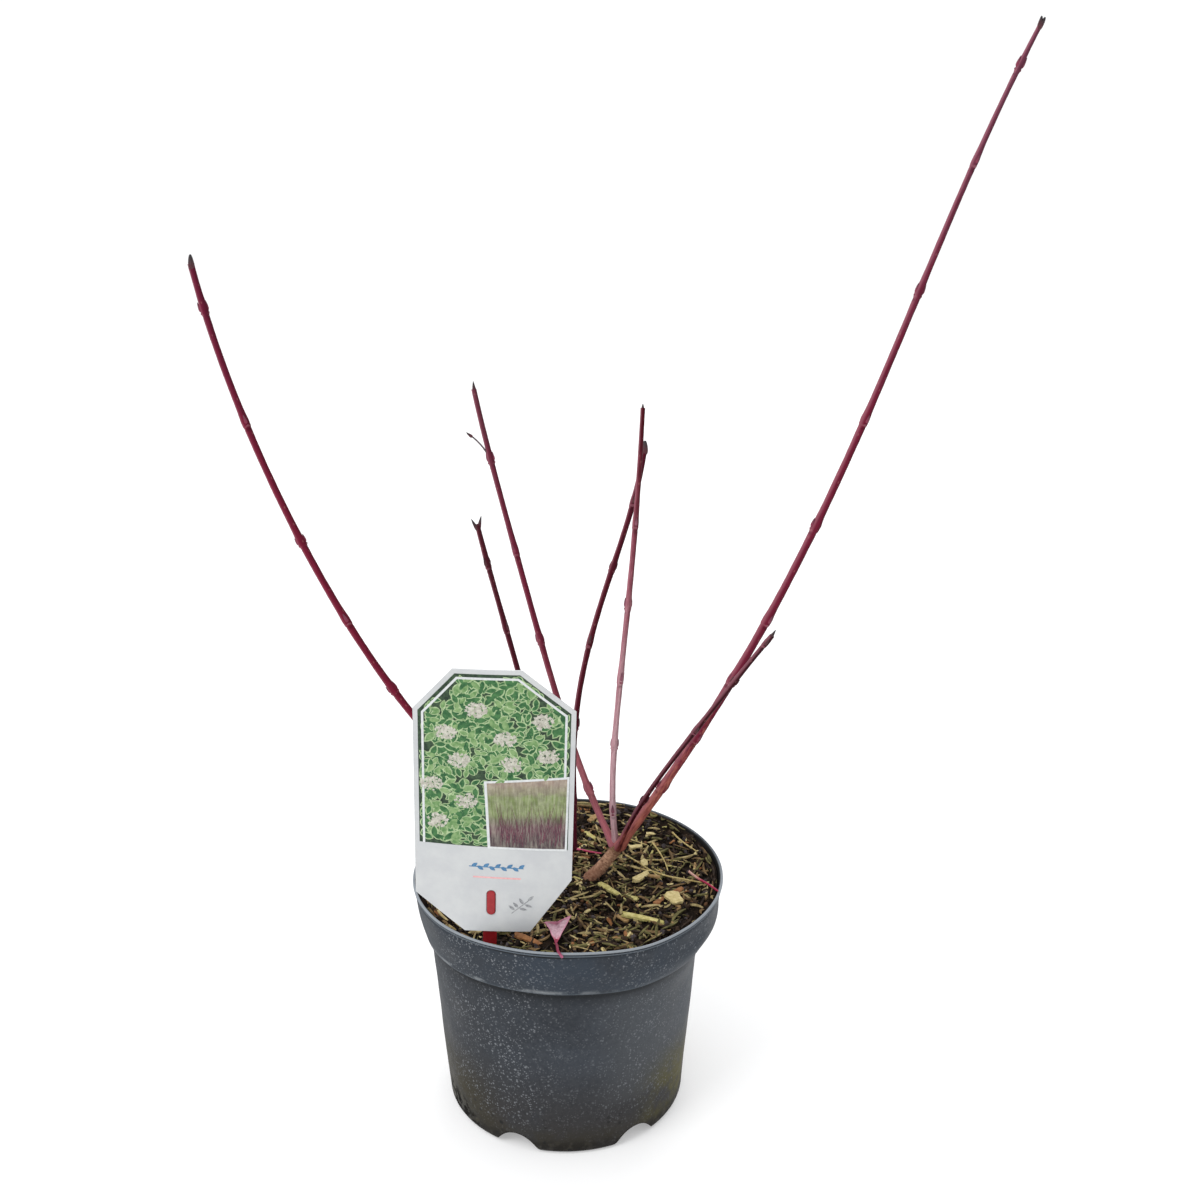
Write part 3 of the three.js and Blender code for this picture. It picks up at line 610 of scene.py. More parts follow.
@dataclass(frozen=True)
class PotFinish(Look):
    """Weathered pot plastic: blue-grey, with dried splashes, lime, a green-brown film and dirt, and with
    painted
    light and shade: a sky reflection on the collar, shade on the left and under the ledge, a highlight on the
    ledge's edge, and highlights and groove shade on the lip.

    The mesh carries height, which is each point's height before the pot was bent, in metres.
    """

    name: str = "pot_plastic"
    roughness: float = 0.52
    gloss: float = 0.14

    def paint(self, tree: Tree) -> dict[str, object]:
        """Coats of stain, painted shade and painted highlights over the plastic, from the broadest to the
        smallest.
        """
        step, times, place, z = tree.step, tree.times, tree.place(), tree.mark("height")
        x, y, _ = tree.axes(place)
        clouds, film, grime = (tree.noise(place, scale, 5.0, rough)
                               for scale, rough in ((26.0, 0.6), (60.0, 0.65), (210.0, 0.62)))
        fine, fine_height = tree.grain(place, 420.0)

        def ring(low: float, high: float, soft: float = 0.0003) -> Socket:
            """A mask between two heights."""
            return times(step(z, low - soft, low + soft), step(z, high + soft, high - soft))

        collar, under = step(z, 0.1066, 0.1072), step(z, 0.1070, 0.1066)
        front = step(y, 0.040, -0.020, 0.25, 1.0)
        low_right = times(step(x, 0.034, 0.062), step(z, 0.060, 0.026), step(z, 0.002, 0.012))
        low_left = times(step(x, -0.030, -0.058), step(z, 0.060, 0.018))
        across = tree.plus(step(x, 0.004, -0.028, 0.3, 1.0), step(x, 0.014, 0.034, 0.0, 0.45))
        spots = times(tree.group(dust_group(), place, 420.0)["Mask"], across,
                      step(x, -0.072, -0.056, 0.3, 1.0), step(z, 0.006, 0.034, 0.25, 1.0))
        slanting = tree.plus(x, times(z, 0.6))
        caked = times(step(slanting, -0.034, -0.052), step(z, 0.026, 0.010), step(grime, 0.34, 0.56))
        pits = times(step(tree.cells(place, 210.0)["Distance"], 0.34, 0.2), step(film, 0.47, 0.6))
        from_middle = tree.math("SUBTRACT", x, 0.0015)
        radius = tree.math("SQRT", tree.plus(times(from_middle, from_middle), times(y, y)))
        colour = tree.layers(
            "282c32",
            ("363b42", step(clouds, 0.3, 0.72)),
            ("4e5155", fine, 0.22),
            # a bluer tint on the collar: a painted reflection of the sky
            ("2b3642", collar, step(clouds, 0.2, 0.6), 0.55),
            # painted shade: darker towards the left side and on the collar's right; the body is lighter on
            # its right
            ("191a1b", step(x, -0.012, -0.052), 0.34),
            ("1a1d20", collar, step(x, 0.030, 0.078), 0.25),
            ("5c6064", step(x, 0.008, 0.038), ring(0.030, 0.106, 0.004), 0.34),
            ("2c2620", step(z, 0.072, 0.004), step(clouds, 0.15, 0.5), 0.7),
            ("2c281c", step(z, 0.022, 0.008), step(film, 0.3, 0.6), 0.6),
            ("4f4a1c", low_right, step(film, 0.32, 0.6), 0.85),
            ("2d2813", low_left, step(film, 0.25, 0.5), 0.9),
            ("83868a", spots, 0.72),
            ("8d9194", ring(0.1076, 0.1096, 0.0012), step(film, 0.42, 0.56),
             step(x, 0.040, -0.010, 0.2, 1.0), 0.6),
            # a painted highlight along the collar's lower edge
            ("4e555c", ring(0.1070, 0.1082, 0.0004), 0.4),
            # painted shade under the collar's overhanging ledge, deepest just below it
            ("101316", step(z, 0.078, 0.104), under, 0.1),
            ("101316", step(z, 0.0950, 0.1045), under, 0.4),
            ("101316", step(z, 0.1012, 0.1040), under, 0.55),
            ("050403", caked, 0.97),
            ("100d09", step(z, 0.012, 0.004), step(grime, 0.36, 0.52), 0.75),
            ("0d0e0f", pits, step(z, 0.032, 0.014), 0.9),
            # the lip: painted highlights on its front bead and ridge, painted shade in its two grooves, and a
            # darker inner edge
            ("6a727a", ring(0.1338, 0.1348), front, 0.5),
            ("101215", ring(0.1331, 0.1337, 0.0001), 0.8),
            ("0e1013", ring(0.1348, 0.1353, 0.0001), 0.85),
            ("8f959b", step(z, 0.1354, 0.1358), front, 0.85),
            ("1a1917", step(radius, 0.0837, 0.0834), step(z, 0.132, 0.133), 0.9),
        )
        rough = tree.plus(times(spots, 0.3), step(clouds, 0.3, 0.7, 0.44, 0.62))
        return {"Base Color": colour, "Roughness": tree.math("MAXIMUM", rough, caked),
                "Normal": tree.bump(tree.plus(fine_height, times(spots, 0.6)), 0.12)}


@dataclass(frozen=True)
class PanelFinish(Look):
    """A printed panel: bands of colour up its height that run into each other, with upright streaks."""

    name: str
    bands: tuple[tuple[float, str], ...]
    roughness: float = 0.38

    def paint(self, tree: Tree) -> dict[str, object]:
        """The bands from the lowest to the highest, and the streaks."""
        streaks, _ = tree.grain(tree.stretched(tree.place(), (1.0, 1.0, 0.12)), 900.0)
        blots, relief = tree.grain(tree.place(), 300.0)
        wander = tree.times(tree.math("SUBTRACT", relief, 0.7), 0.006)
        height = tree.plus(tree.axes(tree.place())["Z"], wander)
        bands = [(tint, tree.step(height, level - 0.0022, level + 0.0022)) for level, tint in self.bands[1:]]
        colour = tree.layers(self.bands[0][1], *bands, ("d8d4c0", streaks, 0.3), ("3a2c30", blots, 0.35))
        return {"Base Color": colour}


@dataclass(frozen=True)
class LeafFinish(Look):
    """A dry fallen leaf: pale pink, crimson at its edge and foot, with a paler middle vein and side veins."""

    name: str = "fallen_leaf"
    roughness: float = 0.62

    def paint(self, tree: Tree) -> dict[str, object]:
        """Mottled pink under the rim, the foot and the veins."""
        mottle, height = tree.grain(tree.place(), 700.0)
        vein = tree.mark("vein")
        edge = tree.plus(tree.mark("edge"), tree.times(height, 0.35))
        colour = tree.layers("a8828e", ("c8a6b2", mottle), ("c06a88", tree.step(edge, 0.85, 1.25), 0.7),
                             ("9c1c40", tree.step(tree.mark("along"), 0.42, 0.05)), ("d8b4c0", vein, 0.45))
        return {"Base Color": colour, "Normal": tree.bump(tree.plus(height, tree.times(vein, 1.2)), 0.15)}


@dataclass(frozen=True)
class StalkFinish(Look):
    """A dry leaf stalk: one colour at its thick foot, another along the rest."""

    name: str
    foot: str
    rest: str
    turn: float = 0.3
    roughness = 0.5

    def paint(self, tree: Tree) -> dict[str, object]:
        """Both colours and fine streaks."""
        streaks, height = tree.grain(tree.place(), 900.0)
        reach = tree.step(tree.mark("along"), self.turn - 0.15, self.turn + 0.15)
        colour = tree.layers(self.foot, (self.rest, reach), ("7a1a36", streaks, 0.3))
        return {"Base Color": colour, "Normal": tree.bump(height, 0.05)}


@dataclass(frozen=True)
class FloorFinish(Look):
    """The pale floor, which glows a little."""

    name: str = "floor"
    roughness: float = 0.9
    gloss: float = 0.2

    def paint(self, tree: Tree) -> dict[str, object]:
        """Nearly even grey."""
        colour = tree.layers("d6d6d6", ("dadada", tree.noise(tree.place(), 3.0)))
        return {"Base Color": colour, "Emission Color": "ffffff", "Emission Strength": 0.32}


# Stems


def soil_height(x: Array, y: Array) -> Array:
    """The soil's height away from the pot's side: low waves, a heap at the back, flat round the trunks."""
    waves = 0.75 * (np.sin(x / 6.1 + 0.4) * np.cos(y / 7.3) + 0.7 * np.sin((x + y) / 5.3 + 1.1)
                    + 0.6 * np.cos((x - 1.7 * y) / 7.2))
    heap = 3.6 * smoothstep(y, 22, 70) * hump(x, 55)
    to_seat = np.minimum(*(np.hypot(x - foot[0], y - foot[1]) for foot in TRUNK_FEET))
    return SOIL_LEVEL - CLEARANCE + smoothstep(to_seat, 13, 22) * (waves + heap)


class Bark(Enum):
    """The sorts of young bark, each with its own colours of bud."""

    RED = "red"
    ROSE = "rose"
    DARK = "dark"


class Tip(Enum):
    """How a stem ends: the length, width and splay in degrees of each of its last buds."""

    SINGLE = ((8.0, 2.7, 0.0),)
    BROAD = ((8.5, 3.8, 0.0),)
    THIN = ((4.5, 1.8, 0.0),)
    BLUNT = ((8.5, 4.3, 2.0),)
    PAIR = ((6.5, 2.7, 8.0), (5.5, 2.4, -8.0))
    OPEN = ((8.5, 2.6, 20.0), (8.0, 2.4, -20.0))
    SHOOT = ((4.5, 2.3, 0.0),)

    @property
    def point(self) -> float:
        """How its buds run to their tips: bluntly where it is small."""
        return 0.42 if self in (Tip.BROAD, Tip.BLUNT, Tip.PAIR) else 0.68


@dataclass
class Stem:
    """One stem: a round body laid along a curve.

    The lean from upright is the cubic through four values at 0, 1/3, 2/3 and 1 of the length, the heading
    changes evenly, and the place adds up two hundred steps along it. The radius runs straight between four
    values, with a flared foot and a swelling at each pair of buds.

    Attributes:
        name: the stem's name in the record.
        foot: where it starts, in millimetres.
        azimuth: its heading in degrees at its foot and at its tip.
        lean: its lean in degrees at four even places.
        length: how long it is.
        girth: how thick it is at four even places.
        flare: how much its foot's radius swells.
        split: where its last twigs begin.
        buds: how far up it each pair of buds stands.
        bark: its sort of bark.
        tones: the bark's colours at its foot, middle and tip.
        tip: how it ends.
        turn: how far up it the foot's colour has gone, from 0 to 1.
    """

    name: str
    foot: tuple[float, float, float]
    azimuth: tuple[float, float]
    lean: tuple[float, float, float, float]
    length: float
    girth: tuple[float, float, float, float]
    flare: float = 0.0
    split: float = 0.0
    buds: tuple[float, ...] = ()
    bark: Bark = Bark.RED
    tones: tuple[str, str, str] = ("a0504e", "8a2a42", "5e2a3c")
    tip: Tip = Tip.SINGLE
    turn: float = 0.35

    STEPS, ROUND_FOOT = 200, 3.0
    BUD_LENGTH, BUD_WIDTH, BUD_SPLAY, BUD_SINK = 5.2, 1.9, 8.5, 0.45

    def __post_init__(self) -> None:
        """Adds up the steps along the stem."""
        middles = (np.arange(self.STEPS) + 0.5) / self.STEPS * self.length
        steps = self.frame(middles)[0] * (self.length / self.STEPS)
        self.places = np.vstack([self.foot, np.array(self.foot) + np.cumsum(steps, axis=0)])

    def frame(self, distance: Array) -> tuple[Array, Array, Array]:
        """Directions along the stem, across it in the plane it leans in, and sideways, at distances."""
        t = np.asarray(distance, float) / self.length
        lean = np.zeros_like(t)
        for i, value in enumerate(self.lean):
            lean = lean + value * np.prod([(3 * t - j) / (i - j) for j in range(4) if j != i], axis=0)
        lean = np.radians(lean)
        turn = np.radians(self.azimuth[0] + (self.azimuth[1] - self.azimuth[0]) * t)
        along = np.stack([np.sin(lean) * np.cos(turn), np.sin(lean) * np.sin(turn), np.cos(lean)], -1)
        across = np.stack([np.cos(lean) * np.cos(turn), np.cos(lean) * np.sin(turn), -np.sin(lean)], -1)
        return along, across, np.stack([-np.sin(turn), np.cos(turn), np.zeros_like(t)], -1)

    def outward(self, distance: Array, angle: Array) -> Array:
        """Directions out of the stem at distances from its foot and, ring by ring, at angles round it."""
        _, across, sideways = self.frame(distance)
        return np.cos(angle)[..., None] * across[:, None] + np.sin(angle)[..., None] * sideways[:, None]

    def at(self, distance: Array) -> Array:
        """The places at distances from the foot; past either end the stem runs on straight."""
        step = np.asarray(distance, float) / self.length * self.STEPS
        i = np.clip(np.floor(step), 0, self.STEPS - 1).astype(int)
        share = (step - i)[..., None]
        return self.places[i] * (1 - share) + self.places[i + 1] * share

    def taper(self, distance: Array) -> Array:
        """The radius without flare or swellings."""
        return np.interp(np.asarray(distance, float) / self.length, [0, 1 / 3, 2 / 3, 1], self.girth) / 2

    def swelling(self, distance: Array, angle: Array | float) -> Array:
        """How the radius swells at each pair of buds, more towards the buds than between them, as a share."""
        total = np.zeros_like(distance)
        for bud, heading in zip(self.buds, self.headings()):
            towards, away = np.cos(angle - heading), distance - bud
            total = total + 0.09 * hump(away, 8.0) + 0.12 * (0.75 + 0.5 * towards ** 2) * hump(away, 2.6)
            total = total + 0.10 * (0.5 + 0.5 * towards) * hump(away - 1.5, 3.6)
            total = total + 0.05 * hump(away + 2.3, 0.7) - 0.07 * hump(away + 3.6, 0.8)
        return total

    def radius(self, distance: Array, angle: Array | float = 0.6) -> Array:
        """The radius at distances from the foot and angles round the stem."""
        flare = self.flare * hump(np.maximum(0.0, distance), 7.0)
        return self.taper(distance) * (1 + self.swelling(distance, angle)) + flare

    def draws(self) -> list[tuple[float, list[tuple[float, float]]]]:
        """For each pair of buds, its heading round the stem, and the splay and size of both buds."""
        random = seeded_values(11 + math.floor(self.length + 0.5))
        pairs = []
        for i in range(len(self.buds)):
            heading = i * math.pi / 2 + 0.5 + 0.3 * (random() - 0.5)
            halves = [(math.radians(self.BUD_SPLAY * (0.8 + 0.5 * random())), 0.85 + 0.25 * random())
                      for _ in range(2)]
            pairs.append((heading, halves))
        return pairs

    def headings(self) -> list[float]:
        """The heading of each pair of buds round the stem."""
        return [heading for heading, _ in self.draws()]

    def stations(self, start: float, stop: float, step: float) -> Array:
        """Distances at which the stem gets a ring: even ones, and closer ones round each pair of buds."""
        close = [bud + np.arange(-4.8, 4.9, 0.3) for bud in self.buds]
        every = np.sort(np.concatenate([np.linspace(start, stop, int((stop - start) / step) + 2), *close]))
        margin, least = 0.1, 0.12
        inside = every[(every > start + margin) & (every < stop - margin)]
        return np.concatenate([[start], inside[np.concatenate([[True], np.diff(inside) > least])], [stop]])

    def skin(self, start: float, stop: float, sides: int = 26, step: float = 1.3) -> Surface:
        """The stem's surface between two distances: at(d) + r(d, a) (cos a across + sin a sideways).

        Args:
            start: the first distance from the foot.
            stop: the last one.
            sides: how many points go round the stem.
            step: the rings' usual spacing.

        Returns:
            A closed body that carries its straightened place, share of the length, scars and facing.
        """
        distance = self.stations(start, stop, step)
        d, a = polar(distance, sides)
        radius = self.radius(d, a)
        straight = cylinder(radius, a, d)
        seed = len(self.name) * 7 + 3
        radius = radius + self.taper(d) * ripple(straight, (0.030, 11.0, seed), (0.022, 3.2, seed + 1))
        if start < 0:
            into_foot = np.clip((start + self.ROUND_FOOT - d) / self.ROUND_FOOT, 0.0, 0.985)
            radius = radius * np.sqrt(1 - into_foot ** 2)
        outward = self.outward(distance, a)
        far_below = -99.0
        wobble = ripple(straight, (0.4, 2.8, seed + 2))[..., None]
        away = d[..., None] - np.array([*self.buds, far_below]) + wobble
        beside = 0.25 + 0.75 * np.cos(a[..., None] - np.array([*self.headings(), 0.0])) ** 2
        scar = (beside * (hump(away + 2.4, 0.8) - hump(away + 4.0, 1.1))).sum(axis=-1)
        rings = self.at(distance)[:, None] + radius[..., None] * outward
        return tube(rings, skin=straight, along=d / self.length, scar=scar, facing=outward[..., 0])


@dataclass
class Trunk(Stem):
    """A short old trunk: ringed and cracked, wider where it leaves the soil, and rounded off at its top."""

    buried: float = 5.0

    def old_skin(self) -> Surface:
        """The trunk's surface: ridges round it, lumps, a spreading foot and a rounded top."""
        distance = self.stations(-self.buried, self.length, 0.4)
        d, a = polar(distance, 56)
        round_end = 0.45 * self.girth[3]
        closing = np.sqrt(1 - np.clip((d - self.length + round_end) / round_end, 0, 0.985) ** 2)
        base = self.taper(d) * closing
        straight = cylinder(base, a, d)
        ring = np.sin(TURN * d / 2.5 + ripple(straight, (1.8, 8.0, 44)))
        relief = ripple(straight, (0.15, 9.0, 41), (0.08, 3.4, 42), (0.04, 1.5, 43))
        relief = relief + 0.05 * np.sign(ring) * np.abs(ring) ** 0.6
        foot = 0.2 * np.exp(-np.maximum(0.0, d) / 3.0) * (0.75 + 0.35 * np.cos(3 * a + 1.0))
        radius = base + relief * closing + foot
        rings = self.at(distance)[:, None] + radius[..., None] * self.outward(distance, a)
        return tube(rings, skin=straight, along=d / self.length)


def bud_shape(sides: int, rings: int, point: float = 0.68) -> Surface:
    """A pointed bud of unit length and width that stands on +Z and leans to its inner side, -X.

    Its radius at a height t is 0.69 (1 - t)^point (1 - exp(-9 t)), creased where its two scales meet, and its
    middle line bends by -0.22 t^2.

    Args:
        sides: how many points go round it.
        rings: how many rings it has.
        point: how it runs to its tip.

    Returns:
        A closed body that carries t as along.
    """
    t, a = polar(np.linspace(0.012, 0.985, rings) ** 1.1, sides)
    creased = 1 - 0.17 * hump(np.cos(a), 0.24) * smoothstep(t, 0.05, 0.3)
    radius = 0.69 * (1 - t) ** point * (1 - np.exp(-9 * t)) * creased
    x, y = 0.74 * radius * np.cos(a) - 0.22 * t ** 2, 0.95 * radius * np.sin(a)
    return tube(np.stack([x, y, t], -1), along=t)


def scar_shape() -> Surface:
    """The ledge that a leaf leaves under a bud: a flat half-round lump of about unit width, facing +X."""
    t, a = polar(np.linspace(0.03, 0.97, 6), 10)
    radius = np.sin(math.pi * t) ** 0.6
    x, y = 0.22 * radius * np.cos(a), 0.52 * radius * np.sin(a)
    return tube(np.stack([x, y, 0.7 * (t - 0.5)], -1), along=t)


@dataclass
class Shrub:
    """The shrub: two short trunks, seven stems with paired buds, their last twigs, and one side shoot."""

    trunks: tuple[Trunk, ...] = (
        Trunk("trunk_right", (*TRUNK_FEET[0], SOIL_LEVEL), (10.5, 11), (43, 41, 38, 35), 24,
              (8, 6.6, 6.3, 6.8)),
        Trunk("trunk_left", (*TRUNK_FEET[1], SOIL_LEVEL), (4, 4), (27, 23, 18, 14), 12.8,
              (7.4, 6.6, 6.4, 6.8)),
    )
    boughs: tuple[Stem, ...] = (
        Stem("long_right", (29, 3.6, 149), (-6.9, -10.6), (32.2, 24.9, 18.9, 24.3), 472,
             (5.1, 4.15, 3.4, 2.1), 1.1, 308, (46, 81, 120, 158.5, 215, 274.5, 341, 405, 449.5), Bark.RED,
             ("b46a5c", "6a1a30", "663446"), Tip.PAIR, 0.22),
        Stem("mid_left", (27, 4.6, 149), (132.7, 148.3), (42.3, 22.7, 18.6, 12.6), 267, (3.9, 3.4, 3.1, 2.8),
             1.0, 198, (34.5, 78, 121.5, 172.5, 224), Bark.RED,
             ("b46c74", "6a2034", "64303e"), Tip.SINGLE, 0.5),
        Stem("middle", (28, 6, 149.5), (61.1, 76), (-16.9, 12.5, 15.5, 10.8), 245, (3.3, 3.1, 3.0, 2.4),
             0.8, 160, (24, 62.5, 99, 138.5, 182), Bark.ROSE, ("d6b2b8", "884452", "480c17"), Tip.THIN, 0.75),
        Stem("low_right", (28.4, 0.8, 149.5), (-32, -38.6), (20, 31.8, 33.8, 36.4), 178.5,
             (2.8, 2.6, 2.7, 2.4), 0.6, 118, (38.5, 98, 137, 169), Bark.DARK,
             ("8a4640", "36060f", "340d17"), Tip.SINGLE, 0.12),
        Stem("long_left", (1, 8.4, 144.5), (171.7, 171.8), (61.4, 35, 22.3, 10.1), 384, (4.1, 3.95, 3.7, 3.3),
             1.1, 262, (43, 87, 133, 178.5, 227, 296, 356), Bark.RED,
             ("8a2c3c", "721c32", "661c34"), Tip.BROAD),
        Stem("dark_middle", (4, 10, 144.5), (34.6, 73.7), (5.5, 8.8, 38.7, 27.1), 238.7, (3.2, 3.1, 3.0, 3.1),
             0.8, 182, (30.5, 75, 121, 163.5, 202.5), Bark.DARK, ("5e1c2e", "4c101e", "4c1222"), Tip.BLUNT),
        Stem("short_dark", (2.6, 7.6, 144.5), (208.3, 208.3), (17.3, 13.8, 14.3, 12.5), 209,
             (3.1, 2.9, 2.8, 2.6), 0.8, 163, (25, 63, 104, 144.5, 182.5), Bark.DARK,
             ("5c1c2c", "4c1422", "4a1a24"), Tip.OPEN),
    )
    shoot_parent: str = "mid_left"
    shoot_at: float = 224.0
    shoot_end: float = 2.5
    into_bud: float = 0.55
    bury: float = 1.4

    def build(self) -> None:
        """Builds every stem, bud and scar."""
        for trunk in self.trunks:
            piece = put(f"old_{trunk.name}", trunk.old_skin(), OldBarkFinish(), 60)
            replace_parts(piece, trunk.name)
        for stem in self.boughs:
            bark = BarkFinish(f"bark_{stem.name}", *stem.tones, stem.turn)
            lower = put(f"bark_{stem.name}", stem.skin(-self.bury, stem.split), bark, 60)
            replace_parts(lower, stem.name)
            top = stem.length - self.into_bud * stem.tip.value[0][0]
            upper = put(f"top_{stem.name}", stem.skin(stem.split, top), bark, 60)
            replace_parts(upper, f"{stem.name}_twigs")
        shoot = self.side_shoot()
        grey = BarkFinish("shoot_bark", *shoot.tones, roughness=0.6)
        put("side_shoot", shoot.skin(0, shoot.length - self.shoot_end, 14, 0.8), grey, 60)
        self.build_buds(shoot)

    def side_shoot(self) -> Stem:
        """The thin dry shoot on the stem in the middle."""
        parent = next(stem for stem in self.boughs if stem.name == self.shoot_parent)
        foot = tuple(parent.at(np.array(self.shoot_at)))
        return Stem("side_shoot", foot, (180, 180), (28, 35, 46, 58), 20, (1.2, 1, 0.9, 0.9),
                    tones=("7a5a60", "6b6468", "3a3034"), tip=Tip.SHOOT)

    def build_buds(self, shoot: Stem) -> None:
        """Builds the paired buds, their leaf scars and the end buds, each kind joined into one piece."""
        tones = {
            Bark.RED: ("7a2640", "5a2438"),
            Bark.ROSE: ("84485a", "5a2c3c"),
            Bark.DARK: ("4a101c", "300e18"),
        }
        scars = []
        for bark, (foot, tip) in tones.items():
            sides = [self.side_buds(stem) for stem in self.boughs if stem.bark is bark]
            frames, places, scar_frames, scar_places = (np.concatenate(parts) for parts in zip(*sides))
            scars.append(repeated(scar_shape(), scar_frames, scar_places))
            put(f"{bark.value}_buds", repeated(bud_shape(14, 11), frames, places),
                BudFinish(f"{bark.value}_bud_scales", foot, tip), 70)
        tan = Finish("leaf_scars", "642a36", "86485a", 0.7, 1400, 0.05)
        put("leaf_scars", joined(scars), tan, 70)
        ends = [repeated(bud_shape(22, 20, stem.tip.point), *self.end_buds(stem))
                for stem in (*self.boughs, shoot)]
        put("end_buds", joined(ends), BudFinish("end_bud_scales", "4a1622", "18181b"), 70)

    def side_buds(self, stem: Stem) -> tuple[Array, ...]:
        """Frames and places of one stem's paired buds, and of the leaf scars below them."""
        rows = []
        for distance, (heading, halves) in zip(stem.buds, stem.draws()):
            along, across, sideways = stem.frame(np.array(distance))
            radius = float(stem.radius(np.array(distance)))
            for half, (splay, size) in zip((0.0, math.pi), halves):
                outward = math.cos(heading + half) * across + math.sin(heading + half) * sideways
                up = math.cos(splay) * along + math.sin(splay) * outward
                inward = math.cos(splay) * outward - math.sin(splay) * along
                beside = np.cross(up, inward)
                body = [inward * stem.BUD_WIDTH, beside * stem.BUD_WIDTH, up * stem.BUD_LENGTH]
                rows.append((
                    np.stack(body, 1) * size,
                    stem.at(np.array(distance - 1.2)) + outward * (radius - stem.BUD_SINK),
                    np.stack([outward, np.cross(along, outward), along], 1) * 1.5 * size,
                    stem.at(np.array(distance - 1.9)) + outward * (radius - 0.12),
                ))
        return tuple(np.array(parts) for parts in zip(*rows))

    def end_buds(self, stem: Stem) -> tuple[Array, Array]:
        """Frames and places of the buds that end one stem."""
        along, across, sideways = stem.frame(np.array(stem.length))
        frames, places = [], []
        for length, width, degrees in stem.tip.value:
            splay = math.radians(degrees)
            up = math.cos(splay) * along + math.sin(splay) * across
            outward = math.cos(splay) * across - math.sin(splay) * along
            frames.append(np.stack([outward * width, sideways * width, up * length], 1))
            places.append(stem.at(np.array(stem.length - length)))
        return np.array(frames), np.array(places)


# Pot and soil


@dataclass
class Pot:
    """The nursery pot: a thin shell with a flared collar, a rolled lip and arched notches in its foot."""

    height: float = POT_HEIGHT
    lip_radius: float = 85.0
    collar_top: float = 84.0
    collar_foot: float = 78.4
    collar_bulge: float = 0.8
    collar_height: float = 29.5
    body_top: float = 74.8
    body_foot: float = 66.8
    corner: float = 3.5
    wall: float = 1.5
    lip_depth: float = 3.5
    floor: float = 2.0
    sway: float = 1.5
    front_rise: float = 2.3
    notch_degrees: tuple[float, ...] = (-23, 35, 112, 187, 262)
    sides: int = 250

    def collar_side(self, inset: float, foot: float, count: int = 16) -> Array:
        """The collar's side from its foot to the lip: a slightly bulging flare, set in by a distance."""
        t = np.linspace(0, 1, count)
        radius = self.collar_foot + (self.collar_top - self.collar_foot) * t
        radius = radius + self.collar_bulge * np.sin(math.pi * t) - inset
        return np.stack([radius, foot + (self.height - self.lip_depth - foot) * t], -1)

    def outside(self) -> Array:
        """The outer profile: underside, rounded corner, body, ledge, collar, grooves and rolled lip."""
        ledge = self.height - self.collar_height
        collar = self.collar_side(0, ledge + 1.0, 40)
        collar[:, 0] -= 0.35 * smoothstep(collar[:, 1], self.height - 5.2, self.height - 3.6)
        grooves = [[-1.5, -3.2], [-0.9, -2.9], [-0.4, -2.6], [-0.4, -1.9], [-1.0, -1.65], [-1.0, -1.3]]
        lip = np.array([self.lip_radius, self.height])
        return np.vstack([
            [[6, 0.9], [40, 0.9], [41.2, 0.1], [42, 0]],
            arc((self.body_foot - self.corner, self.corner), self.corner, -90, -5, 8),
            [[self.body_top, ledge - 1.2], [self.body_top + 0.5, ledge - 0.5]],
            [[self.collar_foot - 0.9, ledge], [self.collar_foot - 0.2, ledge + 0.35]],
            collar,
            lip + grooves,
            arc((self.lip_radius - 0.75, self.height - 0.75), 0.75, -45, 110, 12),
            lip + [[-1.6, -0.5], [-1.9, -1.6]],
        ])

    def inside(self, inset: float) -> Array:
        """The inner profile from the floor's middle to the lip, set in by a clearance."""
        ledge = self.height - self.collar_height
        centre = (self.body_foot - self.corner, self.corner)
        return np.vstack([
            [[6, self.floor + inset]],
            arc(centre, max(0.3, self.corner - self.floor - inset), -90, -5, 5),
            [[self.body_top - self.wall - inset, ledge + 1.1 + inset]],
            self.collar_side(self.wall + inset, ledge + 2.1 + inset),
        ])

    def shaped(self, points: Array) -> Array:
        """The pot's own unevenness: slight dents, a top that sways to one side, and a front bent up.

        On the right the body is drawn in by a millimetre and the collar bulges by two.
        """
        x, y, height = (points[..., i] for i in range(3))
        radius = np.maximum(1.0, np.hypot(x, y))
        dents = ripple(points, (0.28, 75.0, 5), (0.07, 16.0, 6))
        push = 1 + dents * smoothstep(radius, 55, 66) * smoothstep(height, 2, 12) / radius
        right = smoothstep(x, 30, 66) * (2.2 * hump(height - 116, 7.0) - smoothstep(height, 100, 88))
        around = np.degrees(np.arctan2(x, -y))
        front = smoothstep(around, 34, 2) * smoothstep(around, -70, -12)
        rise = self.front_rise * front * smoothstep(height, 20, 110) * smoothstep(radius, 30, 60)
        return np.stack([x * push + self.sway * smoothstep(height, 85, self.height) + right, y * push,
                         height + rise], -1)

    def notches(self, margin: float) -> Surface:
        """The notches' cutters: an arch between two curves, grown by a margin, pushed outward five times."""
        half, flare, top, below = 13.0 + margin, 5.0, 10.0 + margin, -2.0
        t = np.linspace(0, 1, 15)[:, None]
        knots = np.array([[-half - flare, below], [-half + 1, below], [-half + 3, top], [0, top]])
        shares = ((1 - t) ** 3, 3 * (1 - t) ** 2 * t, 3 * (1 - t) * t ** 2, t ** 3)
        left = sum(share * knot for share, knot in zip(shares, knots))
        arch = prism(np.vstack([left, left[::-1][1:] * [-1, 1]])[::-1], -85, margin - 52)
        turns = [about(2, math.radians(degrees)) for degrees in self.notch_degrees]
        return joined([Surface(arch.points @ turn.T, arch.faces) for turn in turns])

    def build(self) -> None:
        """Builds the shell and cuts its notches."""
        shell = turned(refined(np.vstack([self.outside(), self.inside(0)[::-1]]), 1.7), self.sides)
        shell.marks["height"] = shell.points[:, 2] * MM
        shell.points = self.shaped(shell.points)
        piece = put("pot_shell", shell, PotFinish(), 40)
        cut(piece, self.notches(0), 40)
        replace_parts(piece, "pot")


